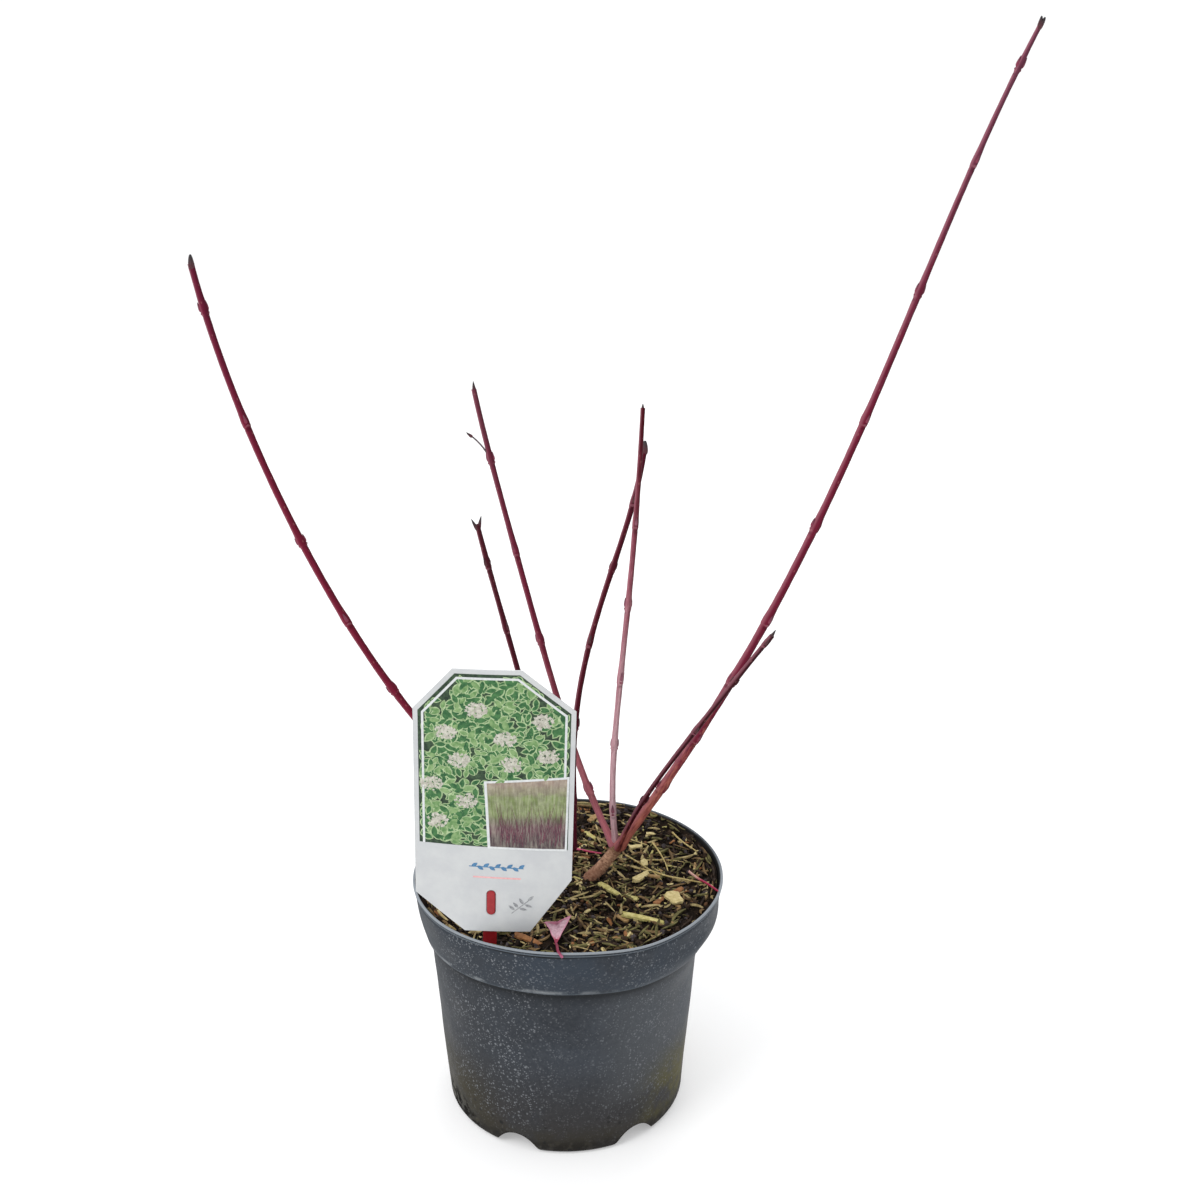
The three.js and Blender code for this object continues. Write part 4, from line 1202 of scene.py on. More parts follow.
class Litter(Enum):
    """What lies in the soil: name, two colours, and how many pieces of it there are."""

    BLACK_CRUMBS = ("black_crumbs", "0e0b09", "231a15", 1250)
    BROWN_CRUMBS = ("brown_crumbs", "261d16", "45362a", 1150)
    GREY_CRUMBS = ("grey_crumbs", "2a2527", "4d4647", 620)
    RUST_CRUMBS = ("rust_crumbs", "4b3424", "6e5038", 130)
    OLIVE_FIBRES = ("olive_fibres", "46422a", "706a42", 440)
    STRAW_FIBRES = ("straw_fibres", "82724c", "b2a276", 380)
    TAN_FIBRES = ("tan_fibres", "55442f", "7d6646", 360)
    DARK_FIBRES = ("dark_fibres", "1b1511", "382b22", 560)

    @property
    def crumbs(self) -> bool:
        """Whether it is crumbs, not fibres."""
        return self.value[0].endswith("crumbs")


class Chip(Enum):
    """The sorts of wood chip: name, two colours, and how many small flakes of it there are."""

    LIME = ("lime_chip", "9a9050", "c2b87c", 26)
    PALE = ("pale_chip", "ab9a66", "cbbc8a", 44)
    RUST = ("rust_chip", "6e4526", "93653c", 44)
    TAN = ("tan_chip", "7c613c", "a3855a", 44)


@dataclass
class Soil:
    """The potting soil: an uneven bed, with crumbs, fibres and wood chips in it.

    Attributes:
        chips: the larger chips' sort, place, heading in degrees, length, width and thickness.
        straws: both ends and the thickness of each long straw.
    """

    pot: Pot
    edge_radius: float = 81.9
    edge_height: float = SOIL_LEVEL - 1.5
    chips: tuple[tuple[Chip, tuple[float, ...]], ...] = (
        (Chip.LIME, (24.5, -16, -50, 17, 4.2, 2.4)),
        (Chip.PALE, (59, -25, -65, 11, 9, 2.6)),
        (Chip.LIME, (42, -44.5, -22, 24, 4, 2.6)),
        (Chip.PALE, (41.5, -3, 48, 12, 5, 2.2)),
        (Chip.RUST, (-18, -63.5, -35, 16, 4.5, 2.2)),
        (Chip.TAN, (-42, 46, 25, 13, 5, 2.4)),
    )
    straws: tuple[tuple[float, ...], ...] = (
        (48.7, 37.3, 56.6, 4.0, 1.1),
        (36.8, 10.5, 74.6, -8.7, 1.2),
        (33.1, 22.6, 53.0, -4.5, 1.0),
        (60.5, 47.8, 75.3, 22.6, 1.1),
        (44.0, 18.0, 66.0, 14.0, 0.9),
        (20.0, 52.0, 46.0, 34.0, 1.0),
    )

    # The room that is kept round the trunks, the stake and the leaf, and the leaf's two ends along y.
    TRUNK_ROOM, STAKE_ROOM, LEAF_ROOM, LEAF_ENDS = (4.0, 3.6), (4.6, 1.6), 4.0, (-70, -47)

    def away(self, x: Array, y: Array) -> Array:
        """How far places are from the middle of the soil."""
        return np.hypot(x - self.pot.sway, y)

    def ground(self, x: Array, y: Array) -> Array:
        """The soil's height: away from the side as soil_height says, and lower close to the pot."""
        share = smoothstep(self.away(x, y), self.edge_radius - 9, self.edge_radius)
        edge = self.edge_height + 3.4 * smoothstep(y, -50, 5) + 1.6 * smoothstep(y, 25, 62)
        return soil_height(x, y) * (1 - share) + edge * share

    def bed(self) -> Surface:
        """The bed: a body turned inside the pot, whose top follows the ground with fine lumps on it."""
        side = refined(self.pot.inside(CLEARANCE), 6)
        side = side[side[:, 1] < self.edge_height]
        shares = np.linspace(1, 0.012, 135)
        profile = np.vstack([side, np.column_stack([self.edge_radius * shares, np.full(135, SOIL_LEVEL)])])
        sides = 290
        body = turned(profile, sides)
        points = self.pot.shaped(body.points)
        top = np.arange(len(points)) >= len(side) * sides
        top[-2] = False
        x, y = points[top, 0], points[top, 1]
        inner = smoothstep(self.away(x, y), self.edge_radius, self.edge_radius - 3)
        flat = np.stack([x, y, np.zeros_like(x)], -1)
        lumps = ripple(flat, (0.55, 7.0, 61), (0.35, 3.0, 62), (0.15, 1.4, 63))
        points[top, 2] = self.ground(x, y) + inner * (lumps - 0.35)
        return Surface(points, body.faces)

    def strewn(self, count: int, seed: int, keep: float, reach: float = 79.5) -> tuple[
            Array, Array, np.random.Generator]:
        """Seeded places on the soil that keep off the trunks, the stake and the fallen leaf.

        Args:
            count: how many places are drawn; fewer are left.
            seed: picks the draw.
            keep: how far they keep off.
            reach: how far from the soil's middle they go.

        Returns:
            The places' x and y, and the source of further numbers.
        """
        draw = np.random.default_rng(seed)
        radius = reach * np.sqrt(draw.uniform(0, 1, count))
        angle = draw.uniform(0, TURN, count)
        x, y = radius * np.cos(angle) + self.pot.sway, radius * np.sin(angle)
        clear = np.zeros(count, bool)
        for place, middle, room in zip((x, y), STAKE_IN_SOIL, self.STAKE_ROOM):
            clear |= np.abs(place - middle) > room + keep
        for foot, room in zip(TRUNK_FEET, self.TRUNK_ROOM):
            clear &= np.hypot(x - foot[0], y - foot[1]) > room + keep
        near, far = self.LEAF_ENDS
        clear &= (np.abs(x - LEAF[0][0]) > self.LEAF_ROOM + keep) | (y < near) | (y > far)
        return x[clear], y[clear], draw

    def crumbs(self, count: int, seed: int) -> Surface:
        """Joined rough crumbs, each half sunk in the soil."""
        x, y, draw = self.strewn(count, seed, 0.6)
        size = 0.9 + 2.6 * draw.uniform(0, 1, len(x)) ** 2.2
        stretch = draw.uniform(0.7, 1.25, (len(x), 3)) * [1.1, 0.95, 0.75]
        frames = turned_frames(*draw.uniform(0, TURN, (3, len(x))), size[:, None] * stretch)
        places = np.stack([x, y, self.ground(x, y) + draw.uniform(-0.2, 0.32, len(x)) * size], -1)
        return mixed([lump(seed + i) for i in range(3)], frames, places)

    def fibres(self, count: int, seed: int) -> Surface:
        """Joined bent fibres that lie on the ground, most of them short; at the pot's side they follow it."""
        x, y, draw = self.strewn(count, seed, 1.0, 81.3)
        length = 3.0 + 12.0 * draw.uniform(0, 1, len(x)) ** 1.7
        room = self.edge_radius - 2.0 - self.away(x, y)
        heading = np.where(room > length / 2, draw.uniform(0, TURN, len(x)), np.arctan2(y, x) + TURN / 4)
        reach = np.stack([np.cos(heading), np.sin(heading)]) * length / 2
        low, high = (self.ground(x + way * reach[0], y + way * reach[1]) for way in (-1, 1))
        width = draw.uniform(0.5, 1.6, len(x))
        size = np.stack([length, width, width * draw.uniform(0.45, 0.8, len(x))], -1)
        pitch = -np.arctan2(high - low, length) + draw.normal(0, 0.06, len(x))
        frames = turned_frames(heading, pitch, draw.normal(0, 0.5, len(x)), size)
        height = np.maximum((low + high) / 2, self.ground(x, y)) + draw.uniform(0.15, 1.1, len(x))
        return mixed([sliver(bend) for bend in (-0.9, 0.15, 0.6)], frames, np.stack([x, y, height], -1))

    def scattered_chips(self) -> list[tuple[float, ...]]:
        """The chips that the solids' own seeded rule scatters, without those that have no room."""
        random = seeded_values(7)
        middles = [tuple(np.mean(stalk, axis=0)) for stalk in (RIGHT_STALK, LEFT_STALK)]
        taken = [*TRUNK_FEET, STAKE, *LEAF, *RIGHT_STALK, *LEFT_STALK, *middles]
        chips = []
        for _ in range(16):
            radius = 70 * math.sqrt(0.12 + 0.88 * random())
            angle = TURN * random()
            size = [low + (high - low) * random() for low, high in ((7, 13), (2.5, 5), (1.4, 2.2))]
            x, y = radius * math.cos(angle), radius * math.sin(angle)
            turn = 180 * random()
            if all(math.hypot(x - a, y - b) > 9 + size[0] / 2 for a, b in taken):
                chips.append((x, y, turn, *size))
        return chips

    def chip_bodies(self, chips: Sequence[tuple[float, ...]], seed: int) -> Surface:
        """Joined splintered chips: each its place, heading in degrees, length, width and thickness."""
        bodies = []
        for i, (x, y, degrees, *size) in enumerate(chips):
            place = np.array([[x, y, float(self.ground(np.array(x), np.array(y))) + 0.5 * size[2]]])
            frames = about(2, np.radians([degrees])) * np.array(size)
            bodies.append(repeated(splinter(seed + i), frames, place))
        return joined(bodies)

    def small_chips(self, count: int, seed: int) -> Surface:
        """Joined small flakes of wood."""
        x, y, draw = self.strewn(count, seed, 2.0)
        length = draw.uniform(2.5, 6.5, len(x))
        size = np.stack([length, length * draw.uniform(0.3, 0.6, len(x)), draw.uniform(0.6, 1.3, len(x))], -1)
        frames = turned_frames(draw.uniform(0, TURN, len(x)), *draw.normal(0, 0.25, (2, len(x))), size)
        places = np.stack([x, y, self.ground(x, y) + draw.uniform(0.1, 0.7, len(x))], -1)
        return repeated(splinter(seed), frames, places)

    def straw_bodies(self) -> Surface:
        """The long straws that lie in view, each a thin bent strand on the ground."""
        bodies = []
        for i, (x0, y0, x1, y1, thickness) in enumerate(self.straws):
            t = np.linspace(0, 1, 7)
            side = 1.2 * np.sin(math.pi * t) * (-1) ** i
            along = np.array([x1 - x0, y1 - y0]) / math.hypot(x1 - x0, y1 - y0)
            x, y = x0 + (x1 - x0) * t - side * along[1], y0 + (y1 - y0) * t + side * along[0]
            height = self.ground(x, y)
            height = np.maximum(height, np.linspace(height[0], height[-1], 7)) + thickness / 2 + 0.7
            bodies.append(strand(np.stack([x, y, height], -1), thickness, 0.6))
        return joined(bodies)

    def build(self) -> None:
        """Builds the bed and what lies in it."""
        bed_finish = Finish("soil_bed", "0d0a08", "261d16", 0.95, 330, 0.9, 0.06)
        bed = put("soil_bed", self.bed(), bed_finish, 80)
        cut(bed, self.pot.notches(1.6), 80)
        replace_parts(bed, "soil")
        for i, kind in enumerate(Litter):
            name, tint, second, count = kind.value
            finish = Finish(name, tint, second, 0.9 if kind.crumbs else 0.75, 260, 0.25, 0.1)
            surface = self.crumbs(count, 100 + i) if kind.crumbs else self.fibres(count, 200 + i)
            put(name, surface, finish, 55)
        scattered = self.scattered_chips()
        for i, sort in enumerate(Chip):
            name, tint, second, count = sort.value
            chosen = [chip for kind, chip in self.chips if kind is sort] + scattered[i::4]
            surface = joined([self.chip_bodies(chosen, 400 + 10 * i), self.small_chips(count, 300 + i)])
            put(f"{name}s", surface, Finish(name, tint, second, 0.8, 500, 0.3), 45)
        straw = Finish("long_straws", "9a8750", "c0ae78", 0.7, 420, 0.15)
        put("long_straws", self.straw_bodies(), straw, 60)


def lump(seed: int) -> Surface:
    """A small rough lump of about unit size: four rings of six on a ball, each point pushed in or out."""
    draw = np.random.default_rng(seed)
    height, a = polar(np.array([-0.8, -0.3, 0.3, 0.8]), 6)
    radius = 0.5 * np.sqrt(1 - height ** 2) * draw.uniform(0.75, 1.2, height.shape)
    return tube(cylinder(radius, a + draw.uniform(-0.25, 0.25, a.shape), 0.5 * height))


def sliver(bend: float) -> Surface:
    """A flat bent sliver of unit length along X and unit width: six rings of four, narrower at both ends."""
    t, a = polar(np.linspace(0, 1, 6), 4, 0.5)
    half = 0.7 * (0.4 + 0.6 * np.sin(math.pi * t) ** 0.5)
    bow = bend * (4 * (t - 0.5) ** 2 - 0.4)
    return tube(np.stack([t - 0.5, half * np.cos(a) + bow, half * np.sin(a)], -1))


def splinter(seed: int) -> Surface:
    """A splintered slab of unit length, width and thickness along X, with ragged ends."""
    t, a = polar(np.linspace(0, 1, 8), 8, 0.5)
    draw = np.random.default_rng(seed)
    end = np.abs(2 * t - 1)
    y = 0.5 * np.sign(np.cos(a)) * np.abs(np.cos(a)) ** 0.5
    z = 0.5 * np.sign(np.sin(a)) * np.abs(np.sin(a)) ** 0.6
    width = (1 - 0.3 * t) * draw.uniform(0.88, 1.08, (8, 1)) * (1 - 0.35 * (end > 0.99))
    ragged = draw.uniform(-0.05, 0.05, a.shape) * (end > 0.8)
    return tube(np.stack([t - 0.5 + ragged, y * width, z * (1 - 0.25 * t) + 0.06 * np.sin(5 * t + seed)], -1))


def strand(points: Array, thickness: float, thin: float = 1.0, sides: int = 12) -> Surface:
    """A round strand along a smooth line through points.

    The line is a Catmull-Rom spline. Each ring is turned from the line's direction and the upright, and the
    thickness goes evenly to its share at the far end.

    Args:
        points: the places that the strand passes.
        thickness: how thick it is at its start.
        thin: the share of that at its end.
        sides: how many points go round it.

    Returns:
        A closed body that carries its share of the length as along.
    """
    knots = np.vstack([2 * points[0] - points[1], points, 2 * points[-1] - points[-2]])
    whole = np.linspace(0, len(points) - 1, 12 * (len(points) - 1) + 1)
    i = np.minimum(whole.astype(int), len(points) - 2)
    s = (whole - i)[:, None]
    p0, p1, p2, p3 = (knots[i + k] for k in range(4))
    line = 0.5 * (2 * p1 + (p2 - p0) * s + (2 * p0 - 5 * p1 + 4 * p2 - p3) * s ** 2
                  + (3 * p1 - p0 - 3 * p2 + p3) * s ** 3)
    along = unit(np.gradient(line, axis=0))
    side = unit(np.cross(along, np.array([0.11, 0.07, 0.99])))
    over = np.cross(side, along)
    t, a = polar(whole / whole[-1], sides)
    ends = np.sqrt(np.clip(np.minimum(t, 1 - t) * 40, 0.12, 1))
    radius = (thickness / 2 * (1 + (thin - 1) * t) * ends)[..., None]
    cos, sin = np.cos(a)[..., None], np.sin(a)[..., None]
    return tube(line[:, None] + radius * (cos * side[:, None] - sin * over[:, None]), along=t)


# Label


def normals(steps: Array) -> Array:
    """Unit vectors to the left of steps in a plane."""
    ahead = unit(steps)
    return np.stack([-ahead[:, 1], ahead[:, 0]], -1)


def mitre(before: Array, after: Array) -> Array:
    """How far a corner goes when the two sides that meet there move by one along their normals."""
    return (before + after) / (1 + (before * after).sum(axis=1, keepdims=True))


def inset(outline: Array, distance: float) -> Array:
    """A closed outline moved inward by a distance: each corner goes along the mitre of its two sides."""
    normal = normals(np.roll(outline, -1, axis=0) - outline)
    return outline + distance * mitre(np.roll(normal, 1, axis=0), normal)


def span(outline: Array, levels: Array) -> tuple[Array, Array]:
    """The least and greatest first coordinate of a convex outline at each level of the second one."""
    (x0, z0), (x1, z1) = outline.T[:, None], np.roll(outline, -1, axis=0).T[:, None]
    share = (levels[:, None] - z0) / np.where(z1 == z0, 1.0, z1 - z0)
    x = x0 + (x1 - x0) * share
    outside = (share < -1e-6) | (share > 1 + 1e-6) | (z1 == z0)
    return np.where(outside, np.inf, x).min(axis=1), np.where(outside, -np.inf, x).max(axis=1)


def pillow(outline: Array, front: float, back: float, rounding: float) -> Surface:
    """A slab between two places along y over a convex outline, whose rims are rounded by a quarter arc."""
    angles = np.radians(np.linspace(0, 90, 4))
    rims = [(rounding * (1 - math.cos(a)), rounding * (1 - math.sin(a))) for a in angles]
    places = [(back - depth, away) for depth, away in rims]
    places += [(front + depth, away) for depth, away in rims[::-1]]
    return tube(np.stack([upright(inset(outline, away), y) for y, away in places]))


def leaf_outline() -> Array:
    """A pointed leaf of unit length on +Z and unit width, counter-clockwise seen from -Y."""
    t = np.linspace(0, 1, 7)
    right = np.stack([0.5 * np.sin(math.pi * t ** 0.85) ** 0.85, t], -1)
    return np.vstack([right, right[::-1][1:-1] * [-1, 1]])


def ink(name: str, tint: str, second: str, grain: float, relief: float = 0.02) -> Finish:
    """A printed colour."""
    return Finish(name, tint, second, 0.4, grain, relief)


@dataclass
class Label:
    """The plant label: a card with cut corners, bent back at its sides, on a flat stake with an oval tongue.

    Its print has no words: plain leaves and flower heads laid out by a seeded rule, and a plain panel.
    """

    # How far in front of the card the parts of the print lie, and how far back their plates reach.
    GROUND, LEAVES, FLOWERS, RIM = 0.06, 0.09, 0.21, 0.22
    LINE, PANEL, STEMS, ORNAMENTS = 0.24, 0.25, 0.27, 0.05
    SUNK = 0.1

    foot: tuple[float, float, float] = (*STAKE, SOIL_LEVEL)
    lean: float = 4.0
    roll: float = 1.8
    left: float = -37.6
    right: float = 41.1
    bottom: float = 8.1
    top: float = 158.6
    thickness: float = 0.8
    bend: float = 1.8
    slot: tuple[float, float, float, float] = (0.6, 25.9, 4.8, 15.0)
    panel: tuple[tuple[float, float], ...] = ((-1.2, 58.6), (38.2, 57.0), (38.6, 100.2), (-3.2, 97.4))
    heads: tuple[tuple[float, float], ...] = (
        (-22, 124), (-7, 137), (7, 121), (25, 131), (28, 112),
        (-15, 109), (-29, 95), (10, 107), (-12, 86), (-26, 74),
    )

    def outline(self) -> Array:
        """The card's outline in x and z, counter-clockwise seen from the front."""
        left, right, bottom, top = self.left, self.right, self.bottom, self.top
        return np.array([
            [left + 24.9, bottom], [right - 20.5, bottom], [right, bottom + 31.3], [right, top - 22.3],
            [right - 26.3, top], [left + 19.2, top], [left, top - 22.4], [left, bottom + 22.2],
        ])

    def placed(self, surface: Surface, bent: bool = True) -> Surface:
        """A surface moved from the label's frame to the plant's, and bent with the card if bent."""
        points = surface.points.copy()
        if bent:
            half = (self.right - self.left) / 2
            points[:, 1] += self.bend * ((points[:, 0] - (self.left + self.right) / 2) / half) ** 2
        turn = about(0, math.radians(self.lean)) @ about(1, math.radians(self.roll))
        return Surface(points @ turn.T + self.foot, surface.faces, surface.marks)

    def show(self, name: str, surface: Surface, finish: Look) -> bpy.types.Object:
        """Puts a flat piece on the card."""
        return put(name, self.placed(surface), finish, 35)

    def plate(self, outline: Array, front: float, back: float, rounding: float = 0.0) -> Surface:
        """A thin body over a convex outline, in upright strips that are narrow enough to bend with the card.

        Args:
            outline: its outline in x and z.
            front: its front's place along y.
            back: its back's place along y.
            rounding: how far its upper and lower rims are bevelled.

        Returns:
            The closed body, not yet bent or placed.
        """
        low, high = outline[:, 0].min() + 0.01, outline[:, 0].max() - 0.01
        even = np.linspace(low, high, max(3, int((high - low) / 2.5)))
        places = np.unique(np.clip(np.concatenate([even, outline[:, 0]]), low, high).round(3))
        first, last = span(outline[:, ::-1], places)
        share = np.linspace(0, 1, 37)
        z = first[:, None] + rounding + (last - first - 2 * rounding)[:, None] * share
        x = np.repeat(places[:, None], 37, axis=1)
        front_face, back_face = (np.stack([x, np.full_like(x, y), z], -1) for y in (front, back))
        rims = []
        for edge, side in ((last, 1), (first, -1)):
            rim = np.repeat(edge[:, None], 2, axis=1)
            y = np.broadcast_to([front + rounding, back - rounding][::side], rim.shape)
            rims.append(np.stack([x[:, :2], y, rim], -1))
        return tube(np.concatenate([front_face, rims[0], back_face[:, ::-1], rims[1]], axis=1)[:, ::-1])

    def oval(self, shrink: float) -> Array:
        """The slot's upright oval, made smaller by a margin."""
        x, z, width, height = self.slot
        radius, straight = width / 2 - shrink, (height - width) / 2
        return np.vstack([arc((x, z + way * straight), radius, start, start + 180, 12)
                          for way, start in ((1, 0), (-1, 180))])

    def picture_outline(self) -> Array:
        """The picture's outline: the card's, 2.4 mm inside it, down to a slanting lower edge."""
        return np.vstack([[-35.2, 60.6], [38.7, 57.6], inset(self.outline(), 2.4)[3:7]])

    def band(self, outline: Array, width: float, front: float, back: float) -> Surface:
        """A flat band that follows an open line in x and z on its left side, refined so that it bends."""
        normal = normals(np.diff(outline, axis=0))
        shift = mitre(np.vstack([normal[:1], normal]), np.vstack([normal, normal[-1:]]))
        fine = refined(np.concatenate([outline, outline + width * shift], axis=1), 3.0)
        outer, inner = fine[:, :2], fine[:, 2:]
        corners = ((outer, back), (outer, front), (inner, front), (inner, back))
        return tube(np.stack([upright(line, y) for line, y in corners], axis=1))

    def free_room(self, x: Array, z: Array) -> Array:
        """How far places lie inside the picture and outside the panel."""
        outline = self.picture_outline()
        away = np.stack([x, z], -1)[:, None] - outline
        inside = (away * normals(np.roll(outline, -1, axis=0) - outline)).sum(axis=-1).min(axis=1)
        beside = np.maximum(-2.0 - x, z - 97.0 - 0.067 * x)
        return np.minimum(inside, 2.5 + beside)

    def copies(self, outline: Array, x: Array, z: Array, y: Array, turn: Array, size: Array) -> Surface:
        """Joined copies of a flat shape on the card.

        Args:
            outline: the shape in x and z.
            x, z: the copies' places.
            y: how far forward each lies.
            turn: how far each is turned in the card's plane, in radians.
            size: each one's width, thickness and length.

        Returns:
            The copies, not yet bent or placed.
        """
        flake = tube(np.stack([upright(outline, 0.5), upright(outline, -0.5)]))
        return repeated(flake, about(1, -turn) * size[:, None], np.stack([x, y, z], -1))

    def leaves(self) -> tuple[Array, ...]:
        """Seeded places, turns and lengths of the printed leaves: several at each node, spread like stars."""
        draw = np.random.default_rng(21)
        nodes = draw.uniform([-37, 58], [41, 158], (330, 2))
        count = draw.integers(4, 7, len(nodes))
        which = np.repeat(np.arange(len(nodes)), count)
        part = np.concatenate([np.arange(n) / n for n in count])
        turn = TURN * part + draw.uniform(0, TURN, len(nodes))[which] + draw.normal(0, 0.22, len(which))
        length = draw.uniform(4.4, 7.6, len(nodes))[which] * draw.uniform(0.8, 1.15, len(which))
        ahead = np.stack([-np.sin(turn), np.cos(turn)], -1)
        foot = nodes[which] + 0.6 * ahead
        keep = np.ones(len(foot), bool)
        for share, need in ((0.0, 0.15), (0.4, 0.3 * length), (1.0, 0.15)):
            x, z = (foot + share * length[:, None] * ahead).T
            keep &= self.free_room(x, z) > need
        return foot[keep, 0], foot[keep, 1], turn[keep], length[keep], draw.uniform(0, 1, keep.sum())

    def build_print(self) -> None:
        """Builds the print: ground, edged leaves, flower heads, white line, panel and small ornaments."""
        face = -self.thickness / 2
        back = face + self.SUNK
        self.show("print_ground", self.plate(self.picture_outline(), face - self.GROUND, back),
                  ink("print_ground", "16281c", "3a5238", 550))
        x, z, turn, length, lift = self.leaves()
        height = face - self.LEAVES - self.LEAVES * lift
        width, thick, shift = length * 0.56, np.full_like(x, 0.05), 0.09 * length
        pale = self.copies(leaf_outline(), x, z, height, turn, np.stack([width, thick, length], -1))
        self.show("print_leaf_margins", pale, ink("print_margins", "7c9668", "aec496", 420))
        inner = np.stack([width * 0.66, thick, length * 0.8], -1)
        inside = (x - shift * np.sin(turn), z + shift * np.cos(turn), height - 0.02, turn, inner)
        for name, tint, second, chosen in (("print_greens", "1c4e2a", "447643", lift < 0.84),
                                           ("print_limes", "57804a", "86a36e", lift >= 0.84)):
            part = self.copies(leaf_outline(), *(values[chosen] for values in inside))
            self.show(name, part, ink(name, tint, second, 380))
        self.show("print_flowers", self.flowers(face - self.FLOWERS),
                  ink("print_flowers", "a4a094", "cac8bc", 700))
        white = ink("print_white", "d6d8d8", "c6c9ca", 500, 0.01)
        ring = inset(self.outline(), 4.1)
        line = np.vstack([[ring[2][0], 57.8], ring[3:7], [ring[6][0], 60.4]])
        self.show("print_line", self.band(line, 1.15, face - self.LINE, back), white)
        panel = np.array(self.panel)
        self.show("print_panel_rim", self.plate(panel, face - self.RIM, back), white)
        bands = ((0.19, "38202e"), (0.1985, "5a3843"), (0.2045, "56523c"),
                 (0.2085, "72834a"), (0.2215, "868066"), (0.2262, "9a8678"))
        self.show("print_panel", self.plate(inset(panel, 1.2) + [0.15, 0], face - self.PANEL, back),
                  PanelFinish("print_panel", bands))
        self.show("print_panel_stems", self.panel_stems(face - self.STEMS),
                  ink("print_panel_stems", "4a2836", "6e3f4c", 600, 0.01))
        self.build_ornaments(face - self.ORNAMENTS)

    def flowers(self, face: float) -> Surface:
        """The printed flower heads: small four-petalled stars, closer together in each head's middle."""
        draw = np.random.default_rng(33)
        angles = np.arange(16) / 16 * TURN
        star = 0.5 * (0.72 + 0.28 * np.cos(4 * angles))
        outline = np.stack([star * np.cos(angles), star * np.sin(angles)], -1)
        heads = np.repeat(np.array(self.heads, float), 90, axis=0)
        away = 5.4 * draw.uniform(0, 1, len(heads)) ** 0.6
        angle = draw.uniform(0, TURN, len(heads))
        x, z = heads[:, 0] + away * np.cos(angle), heads[:, 1] + 0.75 * away * np.sin(angle)
        keep = self.free_room(x, z) > 0.6
        x, z, size = x[keep], z[keep], draw.uniform(1.2, 2.1, keep.sum())
        y = face - 0.02 + draw.uniform(-0.02, 0.02, len(x))
        turn = draw.uniform(0, TURN, len(x))
        return self.copies(outline, x, z, y, turn, np.stack([size, np.full_like(x, 0.05), size], -1))

    def panel_stems(self, face: float) -> Surface:
        """The panel's bare stems: thin strokes that fan out from its lower edge."""
        draw = np.random.default_rng(44)
        count = 64
        x = draw.uniform(2.5, 35.5, count)
        z = 60.5 + draw.uniform(0, 4, count) - 0.03 * x
        length = draw.uniform(9, 24, count)
        turn = draw.normal(0, 0.13, count)
        end = x - length * np.sin(turn)
        inside = (end > 1.5) & (end < 36.3)
        stroke = np.array([[0.5, 0], [0.5, 0.5], [0.15, 1], [-0.15, 1], [-0.5, 0.5], [-0.5, 0]])
        size = np.stack([draw.uniform(0.16, 0.36, count), np.full(count, 0.03), length], -1)
        y = face - draw.uniform(0, 0.02, count)
        return self.copies(stroke, x[inside], z[inside], y[inside], turn[inside], size[inside])

    def sprig(self, x: Array, z: Array, turn: Array, size: tuple[float, float], face: float,
              stem: Sequence[Sequence[float]]) -> Surface:
        """Small leaves of one width and length, along a thin stem given by its outline."""
        sizes = np.tile([size[0], 0.06, size[1]], (len(x), 1))
        leaves = self.copies(leaf_outline(), x, z, np.full_like(x, face), turn, sizes)
        return joined([leaves, self.plate(np.array(stem), face - 0.02, face + self.SUNK)])

    def build_ornaments(self, face: float) -> None:
        """Builds the marks on the blank lower part: a row of blue leaves, a pink line and a grey sprig."""
        x = np.linspace(-9.2, 14.4, 9)
        turn = np.radians(np.where(np.arange(9) % 2 == 0, -52, -128))
        row = self.sprig(x, 47.4 - 0.035 * x + np.where(turn > -1.5, -0.3, 0.3), turn, (1.98, 3.72), face,
                         [[-10.5, 47.4], [16.8, 46.4], [16.8, 46.9], [-10.5, 47.9]])
        self.show("print_blue_leaves", row, ink("print_blue", "3f6d94", "5683a8", 900, 0.01))
        line = self.plate(np.array([[-8.5, 41.0], [15.5, 40.1], [15.5, 40.9], [-8.5, 41.8]]), face - 0.03,
                          face + self.SUNK)
        self.show("print_pink_line", line, ink("print_pink", "dc9a9c", "e7b4b4", 900, 0.01))
        sprig = self.sprig(np.array([12.6, 14.4, 14.9, 16.9, 17.6, 19.2]),
                           np.array([21.6, 23.0, 22.6, 25.2, 24.9, 27.2]),
                           np.radians([48, 40, -105, 30, -112, -45]), (1.62, 4.2), face,
                           [[10.8, 19.6], [11.2, 19.3], [19.6, 27.0], [19.2, 27.3]])
        self.show("print_grey_sprig", sprig, ink("print_grey", "77797c", "a7a9ab", 900, 0.01))

    def build(self) -> None:
        """Builds the card with its slot, the print and the stake."""
        half = self.thickness / 2
        card = Finish("label_card", "c4c6c6", "babcbe", 0.36, 60, 0.04)
        piece = self.show("card", self.plate(self.outline(), -half, half, 0.12), card)
        cut(piece, self.placed(prism(self.oval(0), -4, 6), bent=False), 35)
        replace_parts(piece, "label_card")
        self.build_print()
        self.build_stake()

